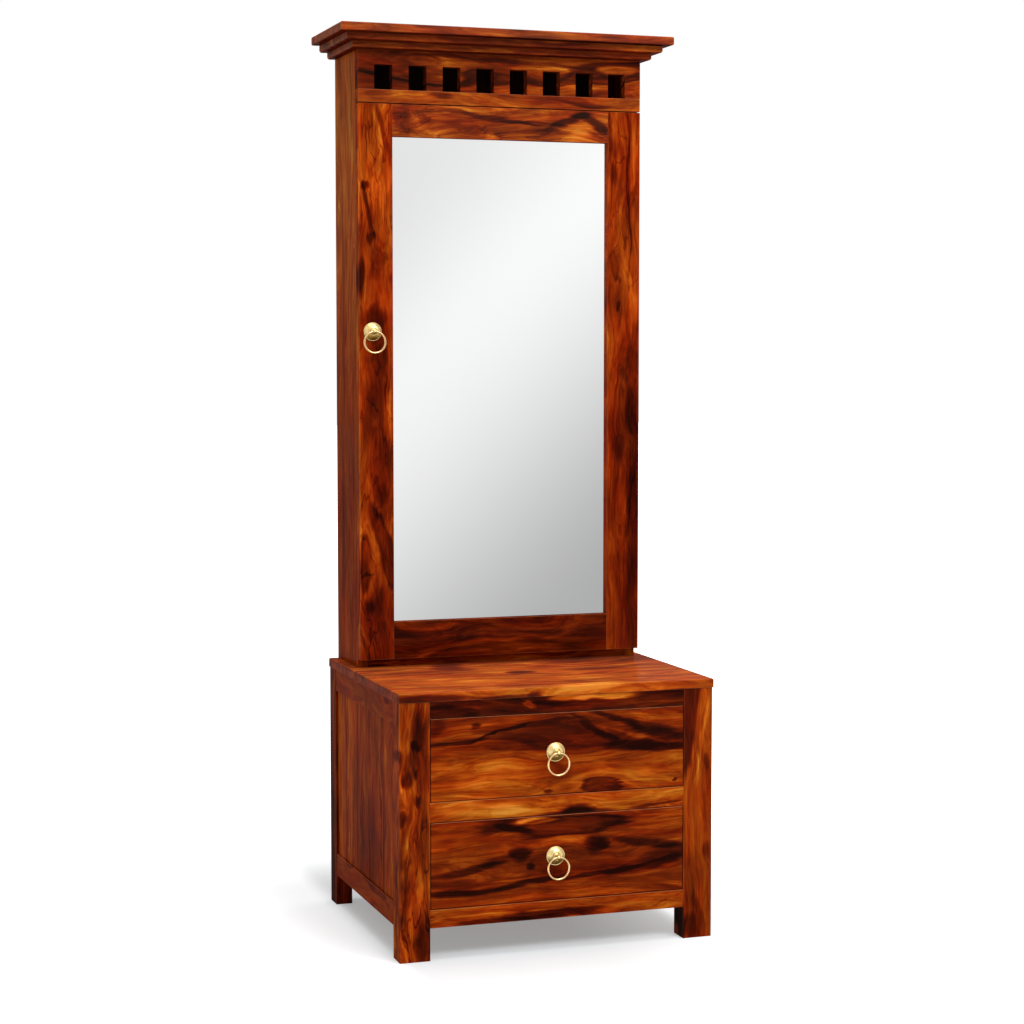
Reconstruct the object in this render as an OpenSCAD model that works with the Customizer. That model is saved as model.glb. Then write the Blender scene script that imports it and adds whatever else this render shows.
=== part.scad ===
// Mirror cabinet: a tall shallow cabinet with a mirror door, standing at the back of a two-drawer chest.
// Millimetres. X runs to the right, Y to the back and Z up.
// The origin is on the floor, in the middle of the footprint, which runs from the drawer pulls to the back.

/* [Overall] */
// Height from the floor to the top of the cornice
total_h = 1800; // [1600:10:2100]

/* [Chest] */
// Width across the posts
base_w = 640; // [560:5:760]
// Depth across the posts
base_d = 530; // [440:5:620]
// Height of the top surface of the chest
base_h = 515; // [480:5:600]
// Thickness of the top board
top_t = 18; // [15:1:24]
// How far the top board stands out past the posts at the front and the sides
top_lip = 2; // [1:0.5:10]
// Rounding of the top board's upper edges
top_round = 3; // [1:0.5:6]
// Height of the free legs under the rails
leg_h = 63; // [50:1:80]
// Width of a front post, seen from the front
front_post_w = 60; // [50:1:80]
// Width of a back post, seen from the front
back_post_w = 34; // [32:1:50]
// Depth of all four posts
post_d = 46; // [40:1:60]

/* [Chest rails and panels] */
// Height of the front rail under the top board
top_rail_h = 32; // [26:1:40]
// Height of the front rail between the drawers
middle_rail_h = 38; // [30:1:46]
// Height of the front rail under the lower drawer
bottom_rail_h = 35; // [28:1:45]
// Height of the opening for the lower drawer
lower_opening_h = 168; // [140:1:180]
// Height of the side and back rails
side_rail_h = 45; // [36:1:60]
// Thickness of the side rails
side_rail_t = 24; // [22:1:30]
// How far the side rails sit behind the outer face of the posts
side_rail_back = 1; // [0.5:0.5:3]
// Thickness of the side panels
side_panel_t = 10; // [8:1:12]
// How far the side panels sit behind the outer face of the posts
side_panel_back = 5; // [4:0.5:7]
// Thickness of the back rails
back_rail_t = 20; // [16:1:26]
// Thickness of the plywood back of the chest
base_back_t = 6; // [4:1:8]
// How deep panels sit in their grooves
groove_deep = 8; // [5:1:10]
// Length of the tenons on the chest rails
tenon_l = 20; // [14:1:24]
// Thickness of the tenons on the front rails
front_tenon_t = 14; // [10:1:20]
// Thickness of the tenons on the side and back rails
side_tenon_t = 10; // [6:1:12]
// Shoulder above and below a tenon
tenon_shoulder = 5; // [3:1:8]

/* [Drawers] */
// Gap round a drawer front, and beside the drawer box
drawer_gap = 1.5; // [1:0.1:2.5]
// Thickness of a drawer front
drawer_front_t = 20; // [18:1:24]
// Thickness of the drawer sides and back
drawer_side_t = 12; // [10:1:15]
// How far the drawer sides end below the top of their opening
drawer_side_drop = 9; // [5:1:20]
// Thickness of a drawer's plywood bottom
drawer_bottom_t = 5; // [4:1:6]
// Height of the drawer bottom above the lower edge of the sides
drawer_bottom_up = 8; // [6:1:12]
// How deep the drawer bottom and back sit in the sides
drawer_groove = 5; // [3:1:6]
// How far the drawer sides run on past the drawer back
drawer_tail_l = 10; // [6:1:20]
// Number of dovetails on each front corner
dovetail_count = 4; // [3:1:5]
// Length of the dovetails, lapped into the drawer front
dovetail_l = 13; // [10:1:15]
// Width of a dovetail where it leaves the side
dovetail_w = 19; // [14:1:22]
// How much a dovetail flares on each side
dovetail_flare = 2; // [1:0.5:3]
// Width of the ledge that a drawer side slides on
runner_ledge_w = 18; // [16:1:24]
// Height of the guide beside a drawer side
runner_guide_h = 16; // [10:1:24]
// Length of the stop block behind a drawer side
stop_l = 14; // [8:1:30]

/* [Cabinet] */
// Width of the cabinet
cab_w = 604; // [520:2:640]
// Depth of the cabinet without its door
cab_d = 160; // [140:5:200]
// Thickness of the cabinet's sides
cab_side_t = 20; // [19:1:24]
// Thickness of the board that the cabinet stands on
cab_bottom_t = 20; // [18:1:24]
// Thickness of the board that closes the cabinet under the frieze
ceiling_t = 18; // [15:1:22]
// How far that board reaches above the underside of the frieze
ceiling_up = 6; // [3:1:10]
// Thickness of a shelf
shelf_t = 16; // [12:1:20]
// How far the shelves sit behind the front edge of the sides
shelf_back = 6; // [4:1:20]
// How deep the shelves sit in the sides
dado = 6; // [4:1:8]
// Thickness of the plywood back of the cabinet
cab_back_t = 6; // [4:1:8]
// How far the back is let into the sides
cab_back_in = 10; // [8:1:12]

/* [Frieze and cornice] */
// Height of the rail under the frieze board
frieze_rail_h = 26; // [20:1:36]
// Height of the frieze board
frieze_board_h = 78; // [70:1:90]
// Number of square holes in the frieze
hole_count = 8; // [4:1:9]
// Width of a hole
hole_w = 37; // [25:1:40]
// Height of a hole
hole_h = 49; // [30:1:55]
// Width of the wood beside the first and the last hole
hole_margin = 34; // [25:1:50]
// How far each cornice board stands out past the one below, in front
cornice_front_step = 21; // [10:0.5:28]
// How far each cornice board stands out past the one below, at the sides
cornice_side_step = 16.5; // [10:0.5:25]
// Thickness of the lowest cornice board
cornice_low_t = 13; // [10:1:18]
// Thickness of the middle cornice board
cornice_mid_t = 14; // [10:1:18]
// Thickness of the top cornice board
cornice_top_t = 17; // [12:1:22]
// Rounding of the lower edges of the two lower cornice boards
cornice_round = 5; // [2:0.5:6]
// Rounding of the edges of the top cornice board
cornice_top_round = 3; // [1:0.5:5]

/* [Door] */
// Thickness of the door frame
door_t = 20; // [18:1:24]
// Gap between the closed door and the front edge of the sides
door_gap = 2.1; // [2.1:0.1:3]
// Height of the door's lower edge above the chest
door_up = 17; // [8:1:18]
// Gap between the door and the frieze
door_top_gap = 2; // [1:0.5:4]
// Width of the door stiles
stile_w = 71; // [60:1:80]
// Height of the door's top rail
door_top_rail_h = 64; // [55:1:80]
// Height of the door's bottom rail
door_bottom_rail_h = 76; // [55:1:90]
// Thickness of the lip in front of the mirror
door_lip = 10; // [9:1:11]
// Width of the rebate that holds the mirror
rebate_w = 9; // [6:1:12]
// Length of the door rails' tenons
door_tenon_l = 45; // [30:1:50]
// Shoulder above and below a door tenon
door_shoulder = 10; // [6:1:14]
// Thickness of the wood in front of a door tenon
door_tenon_in = 3; // [2:0.5:4]
// Thickness of the mirror glass
mirror_t = 4; // [3:0.5:5]
// Thickness of the board behind the mirror
mirror_backing_t = 3; // [2:0.5:3]

/* [Ring pulls] */
// Diameter of the round backplate
rosette_d = 37; // [30:1:44]
// Thickness of the backplate's flat rim
rosette_rim_t = 1.6; // [1:0.1:2.5]
// Width of the flat rim round the dome
rosette_rim_w = 1.2; // [0.8:0.1:2]
// Height of the dome above the rim
dome_h = 8; // [5:0.5:9]
// Distance of the ring's eye from the wood
eye_up = 19; // [18:0.5:26]
// Diameter of the ball that holds the eye
ball_d = 9.8; // [9.6:0.1:12.5]
// Diameter of the ring over the outside
ring_d = 47; // [42:1:56]
// Diameter of the ring's wire
wire_d = 4.3; // [3.6:0.1:4.8]
// Play of the wire in its eye, beside the wire's own bend
eye_play = 0.25; // [0.15:0.05:0.35]
// Diameter of the screw shank behind the backplate
shank_d = 5; // [4:0.5:6]
// How far the shank stands out behind the wood
shank_out = 7; // [5:0.5:8]
// Distance of the door pull from the door's outer edge
door_pull_in = 28; // [27:1:40]
// Height of the door pull above the floor
door_pull_h = 1196; // [1000:2:1350]
// How far the drawer pulls sit to the left of the middle
drawer_pull_left = 8; // [0:1:20]
// How far a drawer pull sits above the middle of its opening
drawer_pull_up = 3.5; // [0:0.5:15]

/* [Hinges and catch] */
// Number of door hinges
hinge_count = 3; // [2:1:4]
// Length of a hinge
hinge_l = 75; // [60:5:100]
// Width of a hinge leaf on the wood
leaf_w = 16; // [12:1:17]
// Thickness of a hinge leaf
leaf_t = 0.9; // [0.7:0.1:0.9]
// Diameter of the hinge barrel
barrel_d = 6.4; // [6:0.1:7]
// Diameter of the hinge pin
pin_d = 3; // [2.5:0.1:3.6]
// Distance of the outer hinges from the ends of the door
hinge_in = 110; // [80:5:160]
// Number of screws in a hinge leaf
leaf_screws = 3; // [2:1:4]
// Diameter of a screw's countersunk head
screw_head_d = 6.4; // [5:0.2:7]
// Width of the magnet catch
catch_w = 44; // [30:1:60]
// Depth of the magnet catch
catch_d = 14; // [10:1:20]
// Height of the magnet catch
catch_h = 13; // [10:1:16]
// Thickness of the plate that the magnet holds
strike_t = 0.8; // [0.6:0.1:1]

/* [Hidden] */
$fn = 48;

// Colours
rosewood = "#8c3f16";
rosewood_red = "#7a3113";
rosewood_dark = "#5d2811";
rosewood_light = "#a85a20";
pale_wood = "#b98a56";
brass = "#d9bd74";
steel = "#b4b2ac";
silver = "#ccd2d4";

// Clearances: in wood joints, under sliding or facing pieces, and round a hinge pin
fit_gap = 0.15;
slide_gap = 0.3;
pin_gap = 0.05;
// Rounding of edges that are only eased
sharp_edge = 0.5;
soft_edge = 1;
// How far a cutting tool reaches past the wood
past = 1;

// Depth: the front of the drawer pulls and the back of the chest are equally far from the origin
pull_reach = eye_up + ball_d / 2;
back_y = (base_d + pull_reach) / 2;
front_y = back_y - base_d;

// Chest
base_x = base_w / 2;
post_in_x = base_x - front_post_w;
back_post_in_x = base_x - back_post_w;
post_back_y = front_y + post_d;
post_front_y = back_y - post_d;
top_under_z = base_h - top_t;
lower_opening = [leg_h + bottom_rail_h, leg_h + bottom_rail_h + lower_opening_h];
upper_opening = [lower_opening[1] + middle_rail_h, top_under_z - top_rail_h];
bottom_level = [leg_h, lower_opening[0]];
middle_level = [lower_opening[1], upper_opening[0]];
top_level = [upper_opening[1], top_under_z];
front_levels = [bottom_level, middle_level, top_level];
side_low_level = [leg_h, leg_h + side_rail_h];
side_high_level = [top_under_z - side_rail_h, top_under_z];
side_levels = [side_low_level, side_high_level];
side_rail_x = base_x - side_rail_back;
side_rail_in_x = side_rail_x - side_rail_t;
side_panel_x = base_x - side_panel_back;
back_rail_y = back_y - back_rail_t;

// Drawers
drawer_x = post_in_x - drawer_gap;
drawer_in_x = drawer_x - drawer_side_t;
drawer_back_y = post_front_y - stop_l - slide_gap;
drawer_front_back_y = front_y + drawer_front_t;
bottom_short = 1;
runner_in_x = post_in_x - runner_ledge_w;

// Cabinet, with one node for each of its shelves
shelf_count = 3;
cab_x = cab_w / 2;
cab_in_x = cab_x - cab_side_t;
cab_front_y = back_y - cab_d;
cab_back_y = back_y - cab_back_t;
top_board_z = total_h - cornice_top_t;
middle_board_z = top_board_z - cornice_mid_t;
cab_top_z = middle_board_z - cornice_low_t;
frieze_z = cab_top_z - frieze_board_h - frieze_rail_h;
ceiling_z = frieze_z + ceiling_up - ceiling_t;
floor_z = base_h + cab_bottom_t;
shelf_pitch = (ceiling_z - floor_z - shelf_count * shelf_t) / (shelf_count + 1) + shelf_t;
hole_pitch = (cab_w - 2 * hole_margin - hole_w) / (hole_count - 1);

// Door
door_back_y = cab_front_y - door_gap;
door_front_y = door_back_y - door_t;
door_z = base_h + door_up;
door_top_z = frieze_z - door_top_gap;
open_x = cab_x - stile_w;
open_z = door_z + door_bottom_rail_h;
open_top_z = door_top_z - door_top_rail_h;
lip_y = door_front_y + door_lip;
mirror_edge = 1;
bead_t = door_t - door_lip - mirror_t - mirror_backing_t;

// Hinges
pin_x = cab_x + slide_gap + barrel_d / 2;
pin_y = cab_front_y - door_gap / 2;
hinge_step = (door_top_z - door_z - 2 * hinge_in - hinge_l) / (hinge_count - 1);
hinge_levels = [for (i = [0 : hinge_count - 1]) door_z + hinge_in + i * hinge_step];
knuckle_count = 5;
knuckle_l = hinge_l / knuckle_count;
// The button on each end of a hinge pin
pin_head_d = 5.2;
pin_head_t = 1;

// Catch: where its middle is
catch_x = catch_w - open_x;
// Width, thickness, set-back and screw hole of the catch's ears
ear_w = 9;
ear_t = 2;
ear_back = 2;
ear_hole_d = 3.4;
// How far the plate on the door reaches past the magnet, and where its screws are from its ends
strike_past = 2;
strike_screw_in = 5;

// Pulls
upper_pull = [-drawer_pull_left, front_y, (upper_opening[0] + upper_opening[1]) / 2 + drawer_pull_up];
lower_pull = [-drawer_pull_left, front_y, (lower_opening[0] + lower_opening[1]) / 2 + drawer_pull_up];
door_pull = [door_pull_in - cab_x, door_front_y, door_pull_h];
dome_r = rosette_d / 2 - rosette_rim_w;
dome_ball_r = (dome_r * dome_r + dome_h * dome_h) / (2 * dome_h);
// The neck stands on the dome, inside a fine dished groove
neck_r = 3;
neck_foot_r = 4.4;
neck_sunk = 2;
neck_foot_up = rosette_rim_t + dome_h - neck_sunk;
dish_r = 6.6;
dish_tube_r = 1.8;
ring_r = (ring_d - wire_d) / 2;
wire_bend = ring_r - sqrt(ring_r * ring_r - ball_d * ball_d / 4);
eye_d = wire_d + wire_bend + 2 * eye_play;
shank_play = 0.6;
shank_hole_d = shank_d + shank_play;

// A box from its lowest to its highest corner, grown by some slack on every side
module span(low, high, slack = 0) {
  grow = [slack, slack, slack];
  translate(low - grow) cube(high - low + 2 * grow);
}

// Draws its right-hand children on the right, or mirrored on the left
module on_side(side) {
  if (side < 0) {
    mirror([1, 0, 0]) children();
  } else {
    children();
  }
}

// Extrudes an outline drawn in X and Z along Y
module along_y(from, to) {
  translate([0, to, 0]) rotate([90, 0, 0]) linear_extrude(to - from) children();
}

// Extrudes an outline drawn in Y and Z along X
module along_x(from, to) {
  translate([from, 0, 0]) rotate([90, 0, 90]) linear_extrude(to - from) children();
}

// What a rounded corner at the origin loses, where the corner points to the upper right
module corner_loss(r) {
  difference() {
    translate([-r, -r]) square(r + past);
    translate([-r, -r]) circle(r);
  }
}

// Outline of a board's right end with its upper and lower corner rounded
module rounded_end(left, right, low, high, low_r, high_r) {
  difference() {
    translate([left, low]) square([right - left, high - low]);
    translate([right, high]) corner_loss(high_r);
    translate([right, low]) mirror([0, 1]) corner_loss(low_r);
  }
}

// A board whose front and side edges are rounded, and whose back is square
module moulded_board(x, front, low, high, low_r, high_r) {
  intersection() {
    along_y(front, back_y) union() {
      rounded_end(0, x, low, high, low_r, high_r);
      mirror([1, 0]) rounded_end(0, x, low, high, low_r, high_r);
    }
    along_x(-x, x) mirror([1, 0]) rounded_end(-back_y, -front, low, high, low_r, high_r);
  }
}

// Chest

// The tongue of a front rail, from the tip of one tenon to the tip of the other
module front_tongue(level, slack = 0) {
  tip = post_in_x + tenon_l;
  mid = front_y + post_d / 2;
  span([-tip, mid - front_tenon_t / 2, level[0] + tenon_shoulder],
       [tip, mid + front_tenon_t / 2, level[1] - tenon_shoulder], slack);
}

module front_rail(level) {
  color(rosewood) union() {
    span([-post_in_x, front_y, level[0]], [post_in_x, post_back_y, level[1]]);
    front_tongue(level);
  }
}

// The tongue of a right-hand side rail, from tenon tip to tenon tip
module side_tongue(level, slack = 0) {
  mid = side_rail_x - side_rail_t / 2;
  span([mid - side_tenon_t / 2, post_back_y - tenon_l, level[0] + tenon_shoulder],
       [mid + side_tenon_t / 2, post_front_y + tenon_l, level[1] - tenon_shoulder], slack);
}

// The right-hand side panel with the edges that sit in the grooves
module side_panel_board(slack = 0) {
  span([side_panel_x - side_panel_t, post_back_y - groove_deep, side_low_level[1] - groove_deep],
       [side_panel_x, post_front_y + groove_deep, side_high_level[0] + groove_deep], slack);
}

module side_panel(side) {
  color(rosewood_red) on_side(side) side_panel_board();
}

module side_rail(side, level) {
  color(rosewood_dark) on_side(side) difference() {
    union() {
      span([side_rail_in_x, post_back_y, level[0]], [side_rail_x, post_front_y, level[1]]);
      side_tongue(level);
    }
    side_panel_board(fit_gap);
  }
}

// The tongue of a back rail, from tenon tip to tenon tip
module back_tongue(level, slack = 0) {
  tip = back_post_in_x + tenon_l;
  mid = back_y - back_rail_t / 2;
  span([-tip, mid - side_tenon_t / 2, level[0] + tenon_shoulder],
       [tip, mid + side_tenon_t / 2, level[1] - tenon_shoulder], slack);
}

// The plywood back with the edges that sit in the grooves
module base_back_board(slack = 0) {
  x = back_post_in_x + groove_deep;
  mid = back_y - back_rail_t / 2;
  span([-x, mid - base_back_t / 2, side_low_level[1] - groove_deep],
       [x, mid + base_back_t / 2, side_high_level[0] + groove_deep], slack);
}

module base_back_panel() {
  color(pale_wood) base_back_board();
}

module back_rail(level) {
  color(rosewood_dark) difference() {
    union() {
      span([-back_post_in_x, back_rail_y, level[0]], [back_post_in_x, back_y, level[1]]);
      back_tongue(level);
    }
    base_back_board(fit_gap);
  }
}

module front_post(side) {
  color(rosewood) on_side(side) difference() {
    span([post_in_x, front_y, 0], [base_x, post_back_y, top_under_z]);
    for (level = front_levels) front_tongue(level, fit_gap);
    for (level = side_levels) side_tongue(level, fit_gap);
    side_panel_board(fit_gap);
  }
}

module back_post(side) {
  color(rosewood) on_side(side) difference() {
    span([back_post_in_x, post_front_y, 0], [base_x, back_y, top_under_z]);
    for (level = side_levels) side_tongue(level, fit_gap);
    for (level = side_levels) back_tongue(level, fit_gap);
    side_panel_board(fit_gap);
    base_back_board(fit_gap);
  }
}

module base_top() {
  color(rosewood_light)
    moulded_board(base_x + top_lip, front_y - top_lip, top_under_z, base_h, sharp_edge, top_round);
}

// Outline, in X and Z, of one runner strip with its guide beside the drawer
module runner_outline(level) {
  translate([runner_in_x, level[0]]) square([side_rail_in_x - runner_in_x, level[1] - level[0]]);
  translate([post_in_x, level[0]]) square([side_rail_in_x - post_in_x, level[1] - level[0] + runner_guide_h]);
}

// Two runners, each with its stop block, and the strip that keeps the upper drawer from tipping
module runners(side) {
  color(pale_wood) on_side(side) {
    for (level = [bottom_level, middle_level]) union() {
      along_y(post_back_y, post_front_y) runner_outline(level);
      span([runner_in_x, post_front_y - stop_l, level[1] - past],
           [post_in_x + past, post_front_y, level[1] + runner_guide_h]);
    }
    span([runner_in_x, post_back_y, top_level[0]], [side_rail_in_x, post_front_y, top_level[1]]);
  }
}

// Drawers, each named by the heights of its opening

// Lower and upper edge of a drawer's sides
function side_edges(opening) = [opening[0] + slide_gap, opening[1] - drawer_side_drop];

// Underside of a drawer's bottom
function bottom_z(opening) = opening[0] + slide_gap + drawer_bottom_up;

// The dovetails of one front corner, drawn in Y and Z, flaring towards the front
module dovetails(opening, slack = 0) {
  edges = side_edges(opening);
  pitch = (edges[1] - edges[0]) / dovetail_count;
  root = drawer_front_back_y;
  tip = root - dovetail_l - slack;
  narrow = dovetail_w / 2 + slack;
  wide = narrow + dovetail_flare;
  for (i = [0 : dovetail_count - 1]) {
    z = edges[0] + (i + 0.5) * pitch;
    polygon([[root + past, z - narrow], [tip, z - wide], [tip, z + wide], [root + past, z + narrow]]);
  }
}

module drawer_bottom_board(opening, slack = 0) {
  x = drawer_in_x + drawer_groove;
  front = drawer_front_back_y - drawer_groove;
  low = bottom_z(opening);
  span([-x, front, low], [x, drawer_back_y - bottom_short, low + drawer_bottom_t], slack);
}

module drawer_bottom(opening) {
  color(pale_wood) drawer_bottom_board(opening);
}

module drawer_back_board(opening, slack = 0) {
  x = drawer_in_x + drawer_groove;
  rear = drawer_back_y - drawer_tail_l;
  span([-x, rear - drawer_side_t, bottom_z(opening) + drawer_bottom_t],
       [x, rear, side_edges(opening)[1]], slack);
}

module drawer_back(opening) {
  color(pale_wood) drawer_back_board(opening);
}

module drawer_side(side, opening) {
  edges = side_edges(opening);
  color(pale_wood) on_side(side) difference() {
    union() {
      span([drawer_in_x, drawer_front_back_y, edges[0]], [drawer_x, drawer_back_y, edges[1]]);
      along_x(drawer_in_x, drawer_x) dovetails(opening);
    }
    drawer_bottom_board(opening, fit_gap);
    drawer_back_board(opening, fit_gap);
  }
}

module drawer_front(opening, pull) {
  color(rosewood) difference() {
    span([-drawer_x, front_y, opening[0] + drawer_gap],
         [drawer_x, drawer_front_back_y, opening[1] - drawer_gap]);
    for (side = [-1, 1]) on_side(side)
      along_x(drawer_in_x - fit_gap, drawer_x + past) dovetails(opening, fit_gap);
    drawer_bottom_board(opening, fit_gap);
    shank_hole(pull, drawer_front_t);
  }
}

// Cabinet

// A shelf or ceiling board with the ends that sit in the sides
module cross_board(front, low, thick, slack = 0) {
  x = cab_in_x + dado;
  span([-x, front, low], [x, cab_back_y, low + thick], slack);
}

function shelf_z(i) = floor_z + i * shelf_pitch - shelf_t;

module shelf(i) {
  color(rosewood_red) cross_board(cab_front_y + shelf_back, shelf_z(i), shelf_t);
}

module cabinet_ceiling() {
  color(rosewood_red) cross_board(cab_front_y, ceiling_z, ceiling_t);
}

module cabinet_bottom() {
  color(rosewood_dark) span([-cab_in_x, cab_front_y, base_h], [cab_in_x, cab_back_y, floor_z]);
}

module cabinet_back() {
  x = cab_in_x + cab_back_in - fit_gap;
  color(pale_wood) span([-x, cab_back_y, base_h], [x, back_y, cab_top_z]);
}

module cabinet_side(side) {
  color(rosewood_dark) on_side(side) difference() {
    span([cab_in_x, cab_front_y, base_h], [cab_x, back_y, cab_top_z]);
    span([cab_in_x - past, cab_back_y, base_h - past],
         [cab_in_x + cab_back_in, back_y + past, cab_top_z + past]);
    for (i = [1 : shelf_count]) cross_board(cab_front_y + shelf_back, shelf_z(i), shelf_t, fit_gap);
    cross_board(cab_front_y, ceiling_z, ceiling_t, fit_gap);
  }
}

module frieze_rail() {
  color(rosewood)
    span([-cab_x, door_front_y, frieze_z], [cab_x, cab_front_y, frieze_z + frieze_rail_h]);
}

// The frieze board stands on its rail, which closes the holes from below
module frieze_board() {
  low = frieze_z + frieze_rail_h;
  color(rosewood) difference() {
    span([-cab_x, door_front_y, low], [cab_x, cab_front_y, cab_top_z]);
    for (i = [0 : hole_count - 1])
      translate([hole_margin - cab_x + i * hole_pitch, door_front_y - past, low - past])
        cube([hole_w, cab_front_y - door_front_y + 2 * past, hole_h + past]);
  }
}

// A cornice board, counted from below, standing out past the frieze by its number of steps
module cornice_board(step, low, thick, low_r, high_r) {
  x = cab_x + step * cornice_side_step;
  front = door_front_y - step * cornice_front_step;
  color(rosewood) moulded_board(x, front, low, low + thick, low_r, high_r);
}

// Door

// The tongue of a door rail, from tenon tip to tenon tip, behind the front of the frame
module door_tongue(low, high, slack = 0) {
  tip = open_x + door_tenon_l;
  span([-tip, door_front_y + door_tenon_in, low + door_shoulder], [tip, lip_y, high - door_shoulder], slack);
}

// The space that the mirror, its backing and its beads fill
module mirror_rebate() {
  span([-open_x - rebate_w, lip_y, open_z - rebate_w],
       [open_x + rebate_w, door_back_y + past, open_top_z + rebate_w]);
}

module stile_blank(side, pulled) {
  color(rosewood) on_side(side) difference() {
    span([open_x, door_front_y, door_z], [cab_x, door_back_y, door_top_z]);
    span([open_x - past, lip_y, door_z - past], [open_x + rebate_w, door_back_y + past, door_top_z + past]);
    door_tongue(door_z, open_z, fit_gap);
    door_tongue(open_top_z, door_top_z, fit_gap);
    if (pulled) on_side(side) shank_hole(door_pull, door_t);
  }
}

// A door rail: the front lip reaches the stiles, and the back part fills the rebate in them
module door_rail(low, high) {
  color(rosewood) difference() {
    union() {
      span([-open_x, door_front_y, low], [open_x, door_back_y, high]);
      span([-open_x - rebate_w, lip_y, low], [open_x + rebate_w, door_back_y, high]);
      door_tongue(low, high);
    }
    mirror_rebate();
  }
}

// A sheet that fills the rebate with a little air round its edge
module rebate_sheet(front, thick) {
  x = open_x + rebate_w - mirror_edge;
  span([-x, front, open_z - rebate_w + mirror_edge], [x, front + thick, open_top_z + rebate_w - mirror_edge]);
}

module mirror_glass() {
  color(silver) rebate_sheet(lip_y, mirror_t);
}

module mirror_backing() {
  color(pale_wood) rebate_sheet(lip_y + mirror_t, mirror_backing_t);
}

// Four flat beads that hold the mirror in: two uprights, with two crosspieces between them
module mirror_beads() {
  front = door_back_y - bead_t;
  low = open_z - rebate_w;
  high = open_top_z + rebate_w;
  color(rosewood_light) {
    for (side = [-1, 1]) on_side(side)
      span([open_x, front, low], [open_x + rebate_w, door_back_y, high]);
    for (z = [low, high - rebate_w])
      span([fit_gap - open_x, front, z], [open_x - fit_gap, door_back_y, z + rebate_w]);
  }
}

// Ring pulls, each named by the place of its centre on the wood

// Turns children drawn with +Z out of the wood to face the front, at the pull's place
module at_pull(pull) {
  translate(pull) rotate([90, 0, 0]) children();
}

module shank_hole(pull, wood_t) {
  at_pull(pull) translate([0, 0, -wood_t - past]) cylinder(h = wood_t + 2 * past, d = shank_hole_d);
}

// Backplate, dished dome, neck and ball in one casting, with the eye bored across the ball
module pull_boss(pull, wood_t) {
  color(brass) at_pull(pull) difference() {
    union() {
      cylinder(h = rosette_rim_t, d = rosette_d);
      intersection() {
        translate([0, 0, rosette_rim_t + dome_h - dome_ball_r]) sphere(dome_ball_r);
        cylinder(h = rosette_rim_t + dome_h, r = dome_r);
      }
      translate([0, 0, neck_foot_up]) cylinder(h = eye_up - neck_foot_up, r1 = neck_foot_r, r2 = neck_r);
      translate([0, 0, eye_up]) sphere(d = ball_d);
      translate([0, 0, -wood_t - shank_out]) cylinder(h = wood_t + shank_out + past, d = shank_d);
    }
    translate([0, 0, rosette_rim_t + dome_h]) rotate_extrude() translate([dish_r, 0]) circle(dish_tube_r);
    translate([0, 0, eye_up]) rotate([0, 90, 0]) cylinder(h = ball_d + 2 * past, d = eye_d, center = true);
  }
}

// The ring hangs straight down through the eye
module pull_ring(pull) {
  color(brass) at_pull(pull) translate([0, -ring_r, eye_up])
    rotate_extrude() translate([ring_r, 0]) circle(d = wire_d);
}

// Hinges and catch

module barrel(d, low, high) {
  translate([pin_x, pin_y, low]) cylinder(h = high - low, d = d);
}

// Every second knuckle of a hinge, starting with the given one
module knuckle_spaces(start, low) {
  for (i = [start : 2 : knuckle_count - 1])
    span([cab_x - slide_gap, cab_front_y - door_gap - barrel_d, low + i * knuckle_l - slide_gap / 2],
         [pin_x + barrel_d, cab_front_y + barrel_d, low + (i + 1) * knuckle_l + slide_gap / 2]);
}

// A countersunk hole through the middle of a plate at the given place, wide at the back or the front face
module countersink(place, plate_t, facing) {
  head_r = screw_head_d / 2;
  translate(place) rotate([-90 * facing, 0, 0]) translate([0, 0, -plate_t / 2 - past])
    cylinder(h = plate_t + 2 * past, r1 = head_r - plate_t - past, r2 = head_r + past);
}

// One leaf lies on the wood from the given depth on, and its knuckles leave room for the other leaf's
module hinge_leaf(leaf_y, low, skip, facing) {
  screw_pitch = hinge_l / leaf_screws;
  difference() {
    union() {
      span([cab_x - leaf_w, leaf_y, low], [pin_x, leaf_y + leaf_t, low + hinge_l]);
      barrel(barrel_d, low, low + hinge_l);
    }
    barrel(pin_d + 2 * pin_gap, low - past, low + hinge_l + past);
    knuckle_spaces(skip, low);
    for (i = [0 : leaf_screws - 1])
      countersink([cab_x - leaf_w / 2, leaf_y + leaf_t / 2, low + (i + 0.5) * screw_pitch], leaf_t, facing);
  }
}

module carcass_hinge_leaves() {
  color(steel) for (low = hinge_levels) hinge_leaf(cab_front_y - leaf_t, low, 1, -1);
}

module door_hinge_leaves() {
  color(steel) for (low = hinge_levels) hinge_leaf(door_back_y, low, 0, 1);
}

module hinge_pins() {
  color(steel) for (low = hinge_levels) union() {
    barrel(pin_d, low, low + hinge_l);
    barrel(pin_head_d, low - pin_head_t, low);
    barrel(pin_head_d, low + hinge_l, low + hinge_l + pin_head_t);
  }
}

// The magnet catch hangs under the ceiling board by its two ears: the magnet stands between them
module magnet_catch() {
  half = catch_w / 2;
  ear_x = half - ear_w / 2;
  face = door_back_y + strike_t + slide_gap;
  ear_front = face + ear_back;
  rear = face + catch_d;
  color(steel) translate([catch_x, 0, 0]) difference() {
    union() {
      span([-half, ear_front, ceiling_z - ear_t], [half, rear, ceiling_z]);
      span([ear_w - half, face, ceiling_z - catch_h], [half - ear_w, rear, ceiling_z]);
    }
    for (side = [-1, 1])
      translate([side * ear_x, (ear_front + rear) / 2, ceiling_z - ear_t - past])
        cylinder(h = ear_t + 2 * past, d = ear_hole_d);
  }
}

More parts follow.
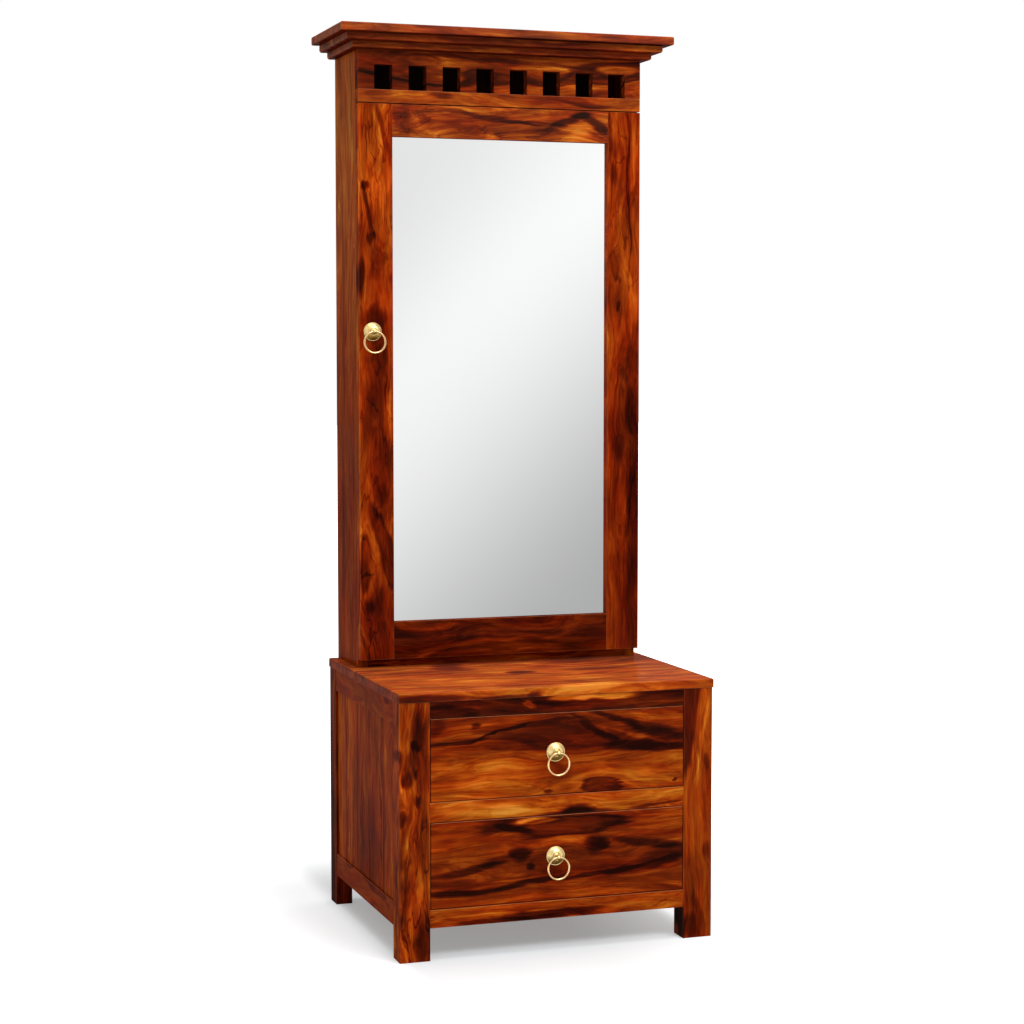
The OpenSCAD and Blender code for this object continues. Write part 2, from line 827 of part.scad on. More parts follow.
// The plate on the door that the magnet holds, with its two screw holes
module strike_plate() {
  half = catch_w / 2 - ear_w + strike_past;
  low = ceiling_z - catch_h - strike_past;
  high = ceiling_z - slide_gap;
  color(steel) difference() {
    span([catch_x - half, door_back_y, low], [catch_x + half, door_back_y + strike_t, high]);
    for (side = [-1, 1])
      countersink([catch_x + side * (half - strike_screw_in), door_back_y + strike_t / 2, (low + high) / 2],
                  strike_t, 1);
  }
}

front_post(-1);  // front_left_post
front_post(1);  // front_right_post
back_post(-1);  // back_left_post
back_post(1);  // back_right_post
base_top();
front_rail(top_level);  // front_top_rail
front_rail(middle_level);  // front_middle_rail
front_rail(bottom_level);  // front_bottom_rail
side_rail(-1, side_high_level);  // left_top_rail
side_rail(1, side_high_level);  // right_top_rail
side_rail(-1, side_low_level);  // left_bottom_rail
side_rail(1, side_low_level);  // right_bottom_rail
side_panel(-1);  // left_side_panel
side_panel(1);  // right_side_panel
back_rail(side_high_level);  // back_top_rail
back_rail(side_low_level);  // back_bottom_rail
base_back_panel();
runners(-1);  // left_runners
runners(1);  // right_runners
drawer_front(upper_opening, upper_pull);  // upper_drawer_front
drawer_side(-1, upper_opening);  // upper_drawer_left_side
drawer_side(1, upper_opening);  // upper_drawer_right_side
drawer_back(upper_opening);  // upper_drawer_back
drawer_bottom(upper_opening);  // upper_drawer_bottom
drawer_front(lower_opening, lower_pull);  // lower_drawer_front
drawer_side(-1, lower_opening);  // lower_drawer_left_side
drawer_side(1, lower_opening);  // lower_drawer_right_side
drawer_back(lower_opening);  // lower_drawer_back
drawer_bottom(lower_opening);  // lower_drawer_bottom
cabinet_side(-1);  // cabinet_left_side
cabinet_side(1);  // cabinet_right_side
cabinet_bottom();
cabinet_ceiling();
for (i = [1 : shelf_count]) shelf(i);
cabinet_back();
frieze_rail();
frieze_board();
cornice_board(1, cab_top_z, cornice_low_t, cornice_round, soft_edge);  // cornice_low_board
cornice_board(2, middle_board_z, cornice_mid_t, cornice_round, soft_edge);  // cornice_middle_board
cornice_board(3, top_board_z, cornice_top_t, cornice_top_round, cornice_top_round);  // cornice_top_board
stile_blank(-1, true);  // pull_stile
stile_blank(1, false);  // hinge_stile
door_rail(open_top_z, door_top_z);  // door_top_rail
door_rail(door_z, open_z);  // door_bottom_rail
mirror_glass();
mirror_backing();
mirror_beads();
pull_boss(door_pull, door_t);  // door_pull_boss
pull_boss(upper_pull, drawer_front_t);  // upper_pull_boss
pull_boss(lower_pull, drawer_front_t);  // lower_pull_boss
pull_ring(door_pull);  // door_pull_ring
pull_ring(upper_pull);  // upper_pull_ring
pull_ring(lower_pull);  // lower_pull_ring
carcass_hinge_leaves();
door_hinge_leaves();
hinge_pins();
magnet_catch();
strike_plate();
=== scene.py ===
"""Looks of the mirror cabinet. Metres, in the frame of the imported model; the front faces -Y."""

import math

import bmesh
import bpy
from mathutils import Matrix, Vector


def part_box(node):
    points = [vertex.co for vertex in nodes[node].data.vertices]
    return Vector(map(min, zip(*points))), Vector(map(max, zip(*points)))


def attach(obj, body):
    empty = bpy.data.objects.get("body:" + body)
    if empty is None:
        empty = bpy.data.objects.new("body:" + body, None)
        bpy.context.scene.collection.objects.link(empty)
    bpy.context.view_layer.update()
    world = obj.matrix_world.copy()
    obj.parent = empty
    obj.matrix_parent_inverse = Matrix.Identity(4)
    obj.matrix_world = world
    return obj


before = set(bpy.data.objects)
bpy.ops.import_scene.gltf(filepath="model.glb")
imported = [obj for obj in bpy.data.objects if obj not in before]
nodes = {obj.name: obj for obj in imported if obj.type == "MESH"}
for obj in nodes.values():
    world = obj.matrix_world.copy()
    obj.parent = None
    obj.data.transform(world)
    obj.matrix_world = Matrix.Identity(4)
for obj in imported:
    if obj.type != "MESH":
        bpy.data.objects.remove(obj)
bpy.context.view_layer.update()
MM = 0.001


# Placing

def new_object(name, data):
    made = bpy.data.objects.new(name, data)
    bpy.context.scene.collection.objects.link(made)
    return made


def aim(piece, at, ahead):
    piece.location = at
    piece.rotation_mode = "QUATERNION"
    piece.rotation_quaternion = ahead.to_track_quat("-Z", "Y")


# Camera

CAMERA_AT = Vector((-1.461, -4.2733, 1.1553))
CAMERA_YAW = math.radians(18.75)
CAMERA_PITCH = math.radians(-4.08)
CAMERA_LENS = 78.88
CAMERA_SENSOR = 36


def make_camera():
    data = bpy.data.cameras.new("camera")
    data.sensor_width = CAMERA_SENSOR
    data.lens = CAMERA_LENS
    camera = new_object("camera", data)
    level = math.cos(CAMERA_PITCH)
    ahead = Vector((math.sin(CAMERA_YAW) * level, math.cos(CAMERA_YAW) * level, math.sin(CAMERA_PITCH)))
    aim(camera, CAMERA_AT, ahead)
    bpy.context.scene.camera = camera


# Node helpers

def rgb(red, green, blue):
    """A colour as a screen shows it, 0 to 255, as the linear values that shaders take."""
    def linear(value):
        share = value / 255
        return share / 12.92 if share <= 0.04045 else ((share + 0.055) / 1.055) ** 2.4
    return (linear(red), linear(green), linear(blue), 1.0)


class Graph:
    """Adds nodes to a node tree. A value is a number, a colour, a vector or another node's output."""

    def __init__(self, tree):
        self.tree = tree

    def node(self, kind, inputs=None, **settings):
        made = self.tree.nodes.new(kind)
        for name, value in settings.items():
            setattr(made, name, value)
        self.fill(made, inputs or {})
        return made

    def fill(self, made, inputs):
        """Links outputs to a node's inputs, or sets them to constants, by their names."""
        for name, value in inputs.items():
            self.put(made.inputs[name], value)

    def put(self, socket, value):
        if isinstance(value, bpy.types.NodeSocket):
            self.tree.links.new(value, socket)
        else:
            socket.default_value = value

    def math(self, operation, *values, clamp=False):
        made = self.tree.nodes.new("ShaderNodeMath")
        made.operation = operation
        made.use_clamp = clamp
        for socket, value in zip(made.inputs, values):
            self.put(socket, value)
        return made.outputs[0]

    def vector(self, operation, *values, out=0):
        made = self.tree.nodes.new("ShaderNodeVectorMath")
        made.operation = operation
        for socket, value in zip(made.inputs, values):
            self.put(socket, value)
        return made.outputs[out]

    def split(self, vector):
        return self.node("ShaderNodeSeparateXYZ", {"Vector": vector}).outputs

    def total(self, *values):
        result = values[0]
        for value in values[1:]:
            result = self.math("ADD", result, value)
        return result

    def minus(self, first, second):
        return self.math("SUBTRACT", first, second)

    def times(self, first, second):
        return self.math("MULTIPLY", first, second)

    def here(self):
        return self.node("ShaderNodeTexCoord").outputs["Object"]

    def noise(self, place, stretch, detail=2.0, roughness=0.5, out="Fac"):
        """Noise whose cells are 1 m divided by stretch along each axis."""
        scaled = self.vector("MULTIPLY", place, stretch)
        made = self.node("ShaderNodeTexNoise", {"Vector": scaled, "Scale": 1.0, "Detail": detail,
                                                "Roughness": roughness})
        return made.outputs[out]

    def noise_along(self, value, detail=2.0, roughness=0.5):
        made = self.node("ShaderNodeTexNoise", {"Scale": 1.0, "Detail": detail, "Roughness": roughness},
                         noise_dimensions="1D")
        self.put(made.inputs["W"], value)
        return made.outputs["Fac"]

    def swing(self, value, amount):
        """Noise, which runs from 0 to 1 about a half, turned into plus and minus amount."""
        return self.times(self.minus(value, 0.5), 2 * amount)

    def remap(self, value, low, high, to_low=0.0, to_high=1.0, smooth=True):
        made = self.node("ShaderNodeMapRange", {"Value": value, "From Min": low, "From Max": high,
                                                "To Min": to_low, "To Max": to_high})
        made.interpolation_type = "SMOOTHSTEP" if smooth else "LINEAR"
        return made.outputs["Result"]

    def ramp(self, value, stops):
        made = self.node("ShaderNodeValToRGB", {"Fac": value})
        ramp = made.color_ramp
        while len(ramp.elements) < len(stops):
            ramp.elements.new(0.5)
        for element, (at, colour) in zip(ramp.elements, stops):
            element.position = at
            element.color = colour
        return made.outputs["Color"]

    def mix(self, share, first, second):
        made = self.node("ShaderNodeMix", data_type="RGBA")
        self.put(made.inputs["Factor"], share)
        self.put(made.inputs["A"], first)
        self.put(made.inputs["B"], second)
        return made.outputs["Result"]

    def bump(self, height, strength, distance):
        made = self.node("ShaderNodeBump", {"Height": height, "Strength": strength, "Distance": distance})
        return made.outputs["Normal"]


def new_material(name):
    """A material with one Principled shader. Returns the material, its graph and the shader."""
    material = bpy.data.materials.new(name)
    material.use_nodes = True
    shader = material.node_tree.nodes["Principled BSDF"]
    return material, Graph(material.node_tree), shader


def empty_graph(owner):
    """The graph of a material or a world, without the nodes that it comes with."""
    owner.use_nodes = True
    owner.node_tree.nodes.clear()
    return Graph(owner.node_tree)


# Axes of a board along its grain, across it and through it
FRONT_WIDE = "XZY"
FRONT_TALL = "ZXY"
SIDE_TALL = "ZYX"
SIDE_WIDE = "YZX"
FLAT_WIDE = "XYZ"


def board_place(graph, axes, name):
    """The point on the board: along the grain, across it and through the board, from its centre."""
    low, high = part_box(name)
    centre = (low + high) / 2
    parts = graph.split(graph.here())
    parts = [graph.minus(parts[axis], centre["XYZ".index(axis)]) for axis in axes]
    return graph.node("ShaderNodeCombineXYZ", dict(zip("XYZ", parts))).outputs["Vector"]


# Rosewood

WOOD_STOPS = [
    (0.00, rgb(31, 6, 2)),
    (0.12, rgb(47, 11, 3)),
    (0.25, rgb(65, 16, 4)),
    (0.40, rgb(93, 26, 4)),
    (0.55, rgb(125, 41, 6)),
    (0.70, rgb(158, 65, 10)),
    (0.85, rgb(191, 96, 20)),
    (1.00, rgb(220, 134, 46)),
]
REDDER = (1.09, 0.81, 0.70, 1.0)
YELLOWER = (0.97, 1.12, 1.08, 1.0)
# Pale colour of arrises: a little real wear, and a painted highlight where an arris looks up
WEAR_AND_HIGHLIGHT_EDGE = rgb(212, 136, 92)
# Dark colour of the pores, also used for the painted shade on arrises
PORE_AND_SHADE = rgb(38, 13, 7)
# Colour of the painted sheen, a whitening that stands in for the lacquer's reflection
PAINTED_SHEEN_COLOUR = rgb(255, 236, 206)

# Noise cells per metre along the grain, across it and through the board
WIDE_WAVES = (2.6, 8, 8)
CLOSE_WAVES = (9, 34, 34)
STREAKS = (4.5, 75, 75)
THREADS = (11, 260, 260)
BLOTCHES = (8, 24, 24)
ZONES = (2.2, 9, 9)
CONTOURS = (6, 46, 46)
WARM_PATCHES = (6, 34, 34)
PORES = (55, 1500, 1500)
WEAR = (18, 30, 30)
MARK_WAVES = (6, 18, 18)
MARK_FRAY = (14, 60, 60)
MARK_FEATHERS = (9, 160, 160)

# Growth rings: noise cells per metre of radius, and how far the waves bend the grain
RING_BANDS = 30
RING_LINES = 170
WIDE_BEND = 50 * MM
CLOSE_BEND = 7 * MM

# Tones run from 0, black, to 1, gold
MIDDLE_TONE = 0.62
HEART_DARK = 0.17
INK_DARK = 0.20
# Painted shade on faces that look down
UNDERSIDE_PAINTED_SHADE = 0.24
GLUE_LINE_DARK = 0.12
GLUE_LINE = 0.9 * MM
PORE_SHARE = 0.4
ARRIS_WIDTH = 1.2 * MM
CLIMB_HALF = 0.3
LACQUER_ROUGHNESS = 0.12
LACQUER_IOR = 1.5


def make_figure_group():
    """The figure of a board as a node group: streaks along the grain that follow the growth rings
    round a pith, crossed by zones of dark heartwood with an inky border. It is solid, so that it
    runs on round a board's edges."""
    tree = bpy.data.node_groups.new("rosewood figure", "ShaderNodeTree")
    for way, kind, names in (("INPUT", "Vector", "Place Seed Pith"),
                             ("INPUT", "Float", "Slant Swirl Dark Tone Heart Vigour Curl Veins"),
                             ("OUTPUT", "Color", "Color"), ("OUTPUT", "Float", "Roughness Height")):
        for name in names.split():
            tree.interface.new_socket(name, in_out=way, socket_type=f"NodeSocket{kind}")
    graph = Graph(tree)
    given = graph.node("NodeGroupInput").outputs
    result = graph.node("NodeGroupOutput").inputs

    seeded = graph.vector("ADD", given["Place"], given["Seed"])
    wide = graph.split(graph.noise(seeded, WIDE_WAVES, 2, 0.5, "Color"))
    close = graph.split(graph.noise(seeded, CLOSE_WAVES, 2, 0.5, "Color"))
    curl = graph.times(graph.swing(close["Y"], CLOSE_BEND), given["Curl"])
    bend_across = graph.total(graph.swing(wide["Y"], WIDE_BEND), curl)
    bend_through = graph.total(graph.swing(wide["Z"], WIDE_BEND), graph.swing(close["Z"], CLOSE_BEND))
    own = graph.split(given["Place"])
    pith = graph.split(given["Pith"])
    across = graph.total(graph.minus(own["Y"], pith["Y"]), bend_across)
    lean = graph.times(own["X"], given["Slant"])
    through = graph.total(graph.minus(own["Z"], pith["Z"]), lean, bend_through)
    squares = graph.total(graph.times(across, across), graph.times(through, through))
    radius = graph.total(graph.math("SQRT", squares), given["Swirl"])

    bend = graph.node("ShaderNodeCombineXYZ", {"Y": graph.total(bend_across, given["Swirl"]),
                                               "Z": bend_through}).outputs["Vector"]
    bent = graph.vector("ADD", seeded, bend)
    bands = graph.noise_along(graph.times(radius, RING_BANDS), 2, 0.5)
    lines = graph.noise_along(graph.times(radius, RING_LINES), 3, 0.6)
    streaks = graph.noise(bent, STREAKS, 3, 0.55)
    threads = graph.noise(bent, THREADS, 3, 0.6)
    blotches = graph.noise(bent, BLOTCHES, 3, 0.55)
    zones = graph.noise(seeded, ZONES, 2, 0.5)
    level = graph.total(bands, graph.swing(zones, 0.25), graph.swing(streaks, 0.04), given["Heart"])
    heart = graph.remap(level, 0.575, 0.615)
    ink = graph.times(graph.remap(level, 0.555, 0.60), graph.remap(level, 0.72, 0.61))
    grain = graph.total(graph.swing(blotches, 0.32), graph.swing(streaks, 0.32),
                        graph.swing(threads, 0.22), graph.swing(lines, 0.16))
    tone = graph.total(given["Tone"], graph.times(grain, given["Vigour"]), MIDDLE_TONE)
    veins = graph.total(graph.times(heart, HEART_DARK), graph.times(ink, INK_DARK))
    tone = graph.minus(tone, graph.times(veins, given["Vigour"]))
    contour = graph.math("ABSOLUTE", graph.swing(graph.noise(bent, CONTOURS, 3, 0.5), 0.5))
    thread = graph.times(graph.remap(contour, 0.0, 0.022, 1.0, 0.0), graph.remap(zones, 0.35, 0.6))
    tone = graph.minus(tone, graph.times(thread, given["Veins"]))
    grained = graph.total(graph.swing(streaks, 0.6), 1.0)
    tone = graph.math("SUBTRACT", tone, graph.times(given["Dark"], grained), clamp=True)
    figure = graph.ramp(tone, WOOD_STOPS)
    warmth = graph.noise(bent, WARM_PATCHES, 4, 0.65)
    tint = graph.mix(graph.remap(warmth, 0.36, 0.64), REDDER, YELLOWER)
    figure = graph.vector("MULTIPLY", figure, tint)

    pores = graph.noise(seeded, PORES, 2, 0.5)
    pore = graph.remap(pores, 0.63, 0.72)
    graph.put(result["Color"], graph.mix(graph.times(pore, PORE_SHARE), figure, PORE_AND_SHADE))
    wear_and_sheen = graph.noise(seeded, WEAR, 3, 0.6)
    graph.put(result["Roughness"], graph.total(graph.swing(wear_and_sheen, 0.08), 0.36))
    graph.put(result["Height"], graph.minus(graph.times(threads, 0.4), pore))
    return tree


FIGURE = make_figure_group()


class Mark:
    """A mark on a board, in mm from its centre: where it lies along and across the grain, its half
    length and half width, how dark it is or, below zero, how light, its tilt in degrees, how far the
    rings bulge round it, how soft its border is, and how dark a rim it has. A mark that shows on one
    edge only has a place through the board and a half depth."""

    def __init__(self, along, across, length, width, dark, tilt=0, swirl=0, soft=0.5, rim=0,
                 through=0, depth=1000):
        self.at = (along * MM, across * MM, through * MM)
        self.size = (length * MM, width * MM, depth * MM)
        self.tilt = (0.0, 0.0, math.radians(tilt))
        self.dark = dark
        self.swirl = swirl * MM
        self.soft = soft
        self.rim = rim


def mark_sums(graph, place, marks):
    """The darkness and the bulge of all the marks on a board."""
    half = (0.5, 0.5, 0.5)
    wave = graph.vector("SUBTRACT", graph.noise(place, MARK_WAVES, 2, 0.5, "Color"), half)
    fray = graph.vector("SUBTRACT", graph.noise(place, MARK_FRAY, 3, 0.6, "Color"), half)
    feathers = graph.swing(graph.noise(place, MARK_FEATHERS, 2, 0.5), 0.28)
    ragged = graph.vector("ADD", place, graph.vector("MULTIPLY", wave, (0.07, 0.026, 0.0)))
    ragged = graph.vector("ADD", ragged, graph.vector("MULTIPLY", fray, (0.04, 0.009, 0.0)))
    dark = 0.0
    swirl = 0.0
    for mark in marks:
        inside = graph.node("ShaderNodeMapping", {"Vector": ragged, "Location": mark.at,
                                                  "Rotation": mark.tilt, "Scale": mark.size},
                            vector_type="TEXTURE").outputs["Vector"]
        away = graph.total(graph.vector("LENGTH", inside, out=1), feathers)
        shade = graph.remap(away, 1 - mark.soft, 1 + mark.soft, mark.dark, 0.0)
        dark = graph.total(shade, dark)
        if mark.rim:
            from_rim = graph.math("ABSOLUTE", graph.minus(away, 1.0))
            dark = graph.total(graph.remap(from_rim, 0.0, 0.25, mark.rim, 0.0), dark)
        if mark.swirl:
            swirl = graph.total(graph.remap(away, 0.0, 2.2, mark.swirl, 0.0), swirl)
    return dark, swirl


def on_planks(graph, place, tone, seed, width):
    """Cuts a panel into glued planks, each from another part of the tree."""
    index = graph.math("FLOOR", graph.math("DIVIDE", graph.split(place)["Y"], width * MM))
    plank = graph.node("ShaderNodeTexWhiteNoise", {"W": graph.total(index, seed * 0.37)},
                       noise_dimensions="1D").outputs
    tone = graph.total(graph.swing(plank["Value"], 0.10), tone)
    hop = graph.vector("MULTIPLY", plank["Color"], (3.0, 0.0, 0.06))
    return graph.vector("ADD", place, hop), tone


def glued(graph, place, tone, across, tilt, above):
    """Joins a board of two pieces along a glue line. The upper piece has a tone of its own."""
    own = graph.split(place)
    rise = graph.times(own["X"], math.tan(math.radians(tilt)))
    gap = graph.minus(graph.minus(own["Y"], across * MM), rise)
    upper = graph.math("GREATER_THAN", gap, 0.0)
    line = graph.remap(graph.math("ABSOLUTE", gap), 0.0, GLUE_LINE, GLUE_LINE_DARK, 0.0)
    tone = graph.minus(graph.total(graph.times(upper, above), tone), line)
    hop = graph.node("ShaderNodeCombineXYZ", {"X": graph.times(upper, 1.7)}).outputs["Vector"]
    return graph.vector("ADD", place, hop), tone


def facing_sums(graph, axes, end, painted_arris_shade, haze_and_sheen):
    """How much darker end grain is, how much painted shade darkens undersides, how pale an arris is from
    wear and from a painted highlight where it looks up, how much painted shade darkens the other arrises,
    and how much painted sheen the face shows."""
    normal = graph.node("ShaderNodeTexCoord").outputs["Normal"]
    sizes = graph.split(graph.vector("ABSOLUTE", normal))
    up = graph.split(normal)["Z"]
    ends = graph.remap(sizes[axes[0]], 0.7, 0.95, 0.0, end)
    # Painted shade: faces that look down are darker
    painted_underside_shade = graph.remap(up, -0.5, -0.95, 0.0, UNDERSIDE_PAINTED_SHADE)
    # Arrises grow pale with wear and, more where they look up, with a painted highlight
    wear_and_sheen = graph.remap(up, 0.0, 0.6, 0.0, 1.0) if painted_arris_shade else graph.remap(up, 0.0, 0.6, 0.12, 0.7)
    # Painted shade on arrises that don't look up: dark lines that stand in for the shade in the gaps round
    # the drawers
    arris_shade_mask = graph.remap(up, 0.3, 0.0, 0.0, painted_arris_shade)
    squares = graph.vector("MULTIPLY", normal, normal)
    # Painted sheen, a share given for faces that look along X, Y and Z
    painted_sheen_share = graph.vector("DOT_PRODUCT", squares, haze_and_sheen, out=1)
    return graph.total(ends, painted_underside_shade), wear_and_sheen, arris_shade_mask, painted_sheen_share


def arris(graph, place, half, width):
    """1 on a board's arrises and 0 from the given distance on."""
    gaps = [graph.minus(size, graph.math("ABSOLUTE", part))
            for size, part in zip(half, graph.split(place))]
    nearest = graph.math("MINIMUM", gaps[0], gaps[1])
    farther = graph.math("MAXIMUM", gaps[0], gaps[1])
    second = graph.math("MAXIMUM", nearest, graph.math("MINIMUM", farther, gaps[2]))
    return graph.remap(second, 0.0, width, 1.0, 0.0)


def wood_material(name, axes=FRONT_WIDE, tone=0.0, heart=0.0, pith=(0.02, 0.05), slant=0.0, marks=(), seed=1,
                  planks=None, glue=None, coat=0.02, haze_and_sheen=(0.010, 0.0, 0.003), vigour=1.0, curl=1.0,
                  veins=0.06, end=0.0, painted_arris_shade=0.0, ruddy=0.0, climb=0.0):
    """Lacquered rosewood for one board. axes names the axes along the grain, across it and through it, haze
    is the share of painted sheen, a whitening of the colour that stands in for the lacquer's reflection, on
    faces that look along X, Y and Z, ruddy takes green and half as much blue out of the colour, and climb is
    how much that painted sheen grows from a tall board's lower half to its upper half, as painted light that
    is brighter higher up."""
    material, graph, shader = new_material(name)
    low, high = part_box(name)
    half = [(high["XYZ".index(axis)] - low["XYZ".index(axis)]) / 2 for axis in axes]
    place = board_place(graph, axes, name)
    end_grain_and_shade, wear_and_sheen, arris_shade_mask, painted_sheen_share = facing_sums(graph, axes, end, painted_arris_shade, haze_and_sheen)
    # Painted light: the painted sheen grows up a tall board, so that its top looks lighter
    if climb:
        gain = graph.remap(graph.split(place)["X"], -CLIMB_HALF, CLIMB_HALF, 1 - climb, 1 + climb,
                           smooth=False)
        painted_sheen_share = graph.times(painted_sheen_share, gain)
    on_arris = arris(graph, place, half, ARRIS_WIDTH)
    dark, swirl = mark_sums(graph, place, marks) if marks else (0.0, 0.0)
    # Darker end grain, the wood's own, and painted shade on undersides
    dark = graph.total(end_grain_and_shade, dark)
    sawn, sawn_tone = place, tone
    if planks:
        sawn, sawn_tone = on_planks(graph, place, tone, seed, planks)
    if glue:
        sawn, sawn_tone = glued(graph, place, tone, *glue)
    values = {"Place": sawn, "Seed": (seed * 1.37, seed * 2.91, seed * 0.73), "Pith": (0.0, *pith),
              "Slant": slant, "Swirl": swirl, "Dark": dark, "Tone": sawn_tone, "Heart": heart,
              "Vigour": vigour, "Curl": curl, "Veins": veins}
    figure = graph.node("ShaderNodeGroup", values, node_tree=FIGURE)
    colour = graph.vector("MULTIPLY", figure.outputs["Color"], (1.0, 1 - ruddy, 1 - ruddy / 2))
    # Painted sheen: the colour is whitened as if by the lacquer's reflection
    colour = graph.mix(painted_sheen_share, colour, PAINTED_SHEEN_COLOUR)
    # Pale arrises: real wear plus a painted highlight on those that look up
    colour = graph.mix(graph.times(on_arris, wear_and_sheen), colour, WEAR_AND_HIGHLIGHT_EDGE)
    # Painted shade on the arrises that don't look up
    if painted_arris_shade:
        colour = graph.mix(graph.times(on_arris, arris_shade_mask), colour, PORE_AND_SHADE)
    graph.fill(shader, {"Base Color": colour, "Roughness": figure.outputs["Roughness"],
                        "Specular IOR Level": 0.0, "Coat Weight": coat,
                        "Coat Roughness": LACQUER_ROUGHNESS, "Coat IOR": LACQUER_IOR,
                        "Normal": graph.bump(figure.outputs["Height"], 0.12, 0.4 * MM)})
    return material


# Boards

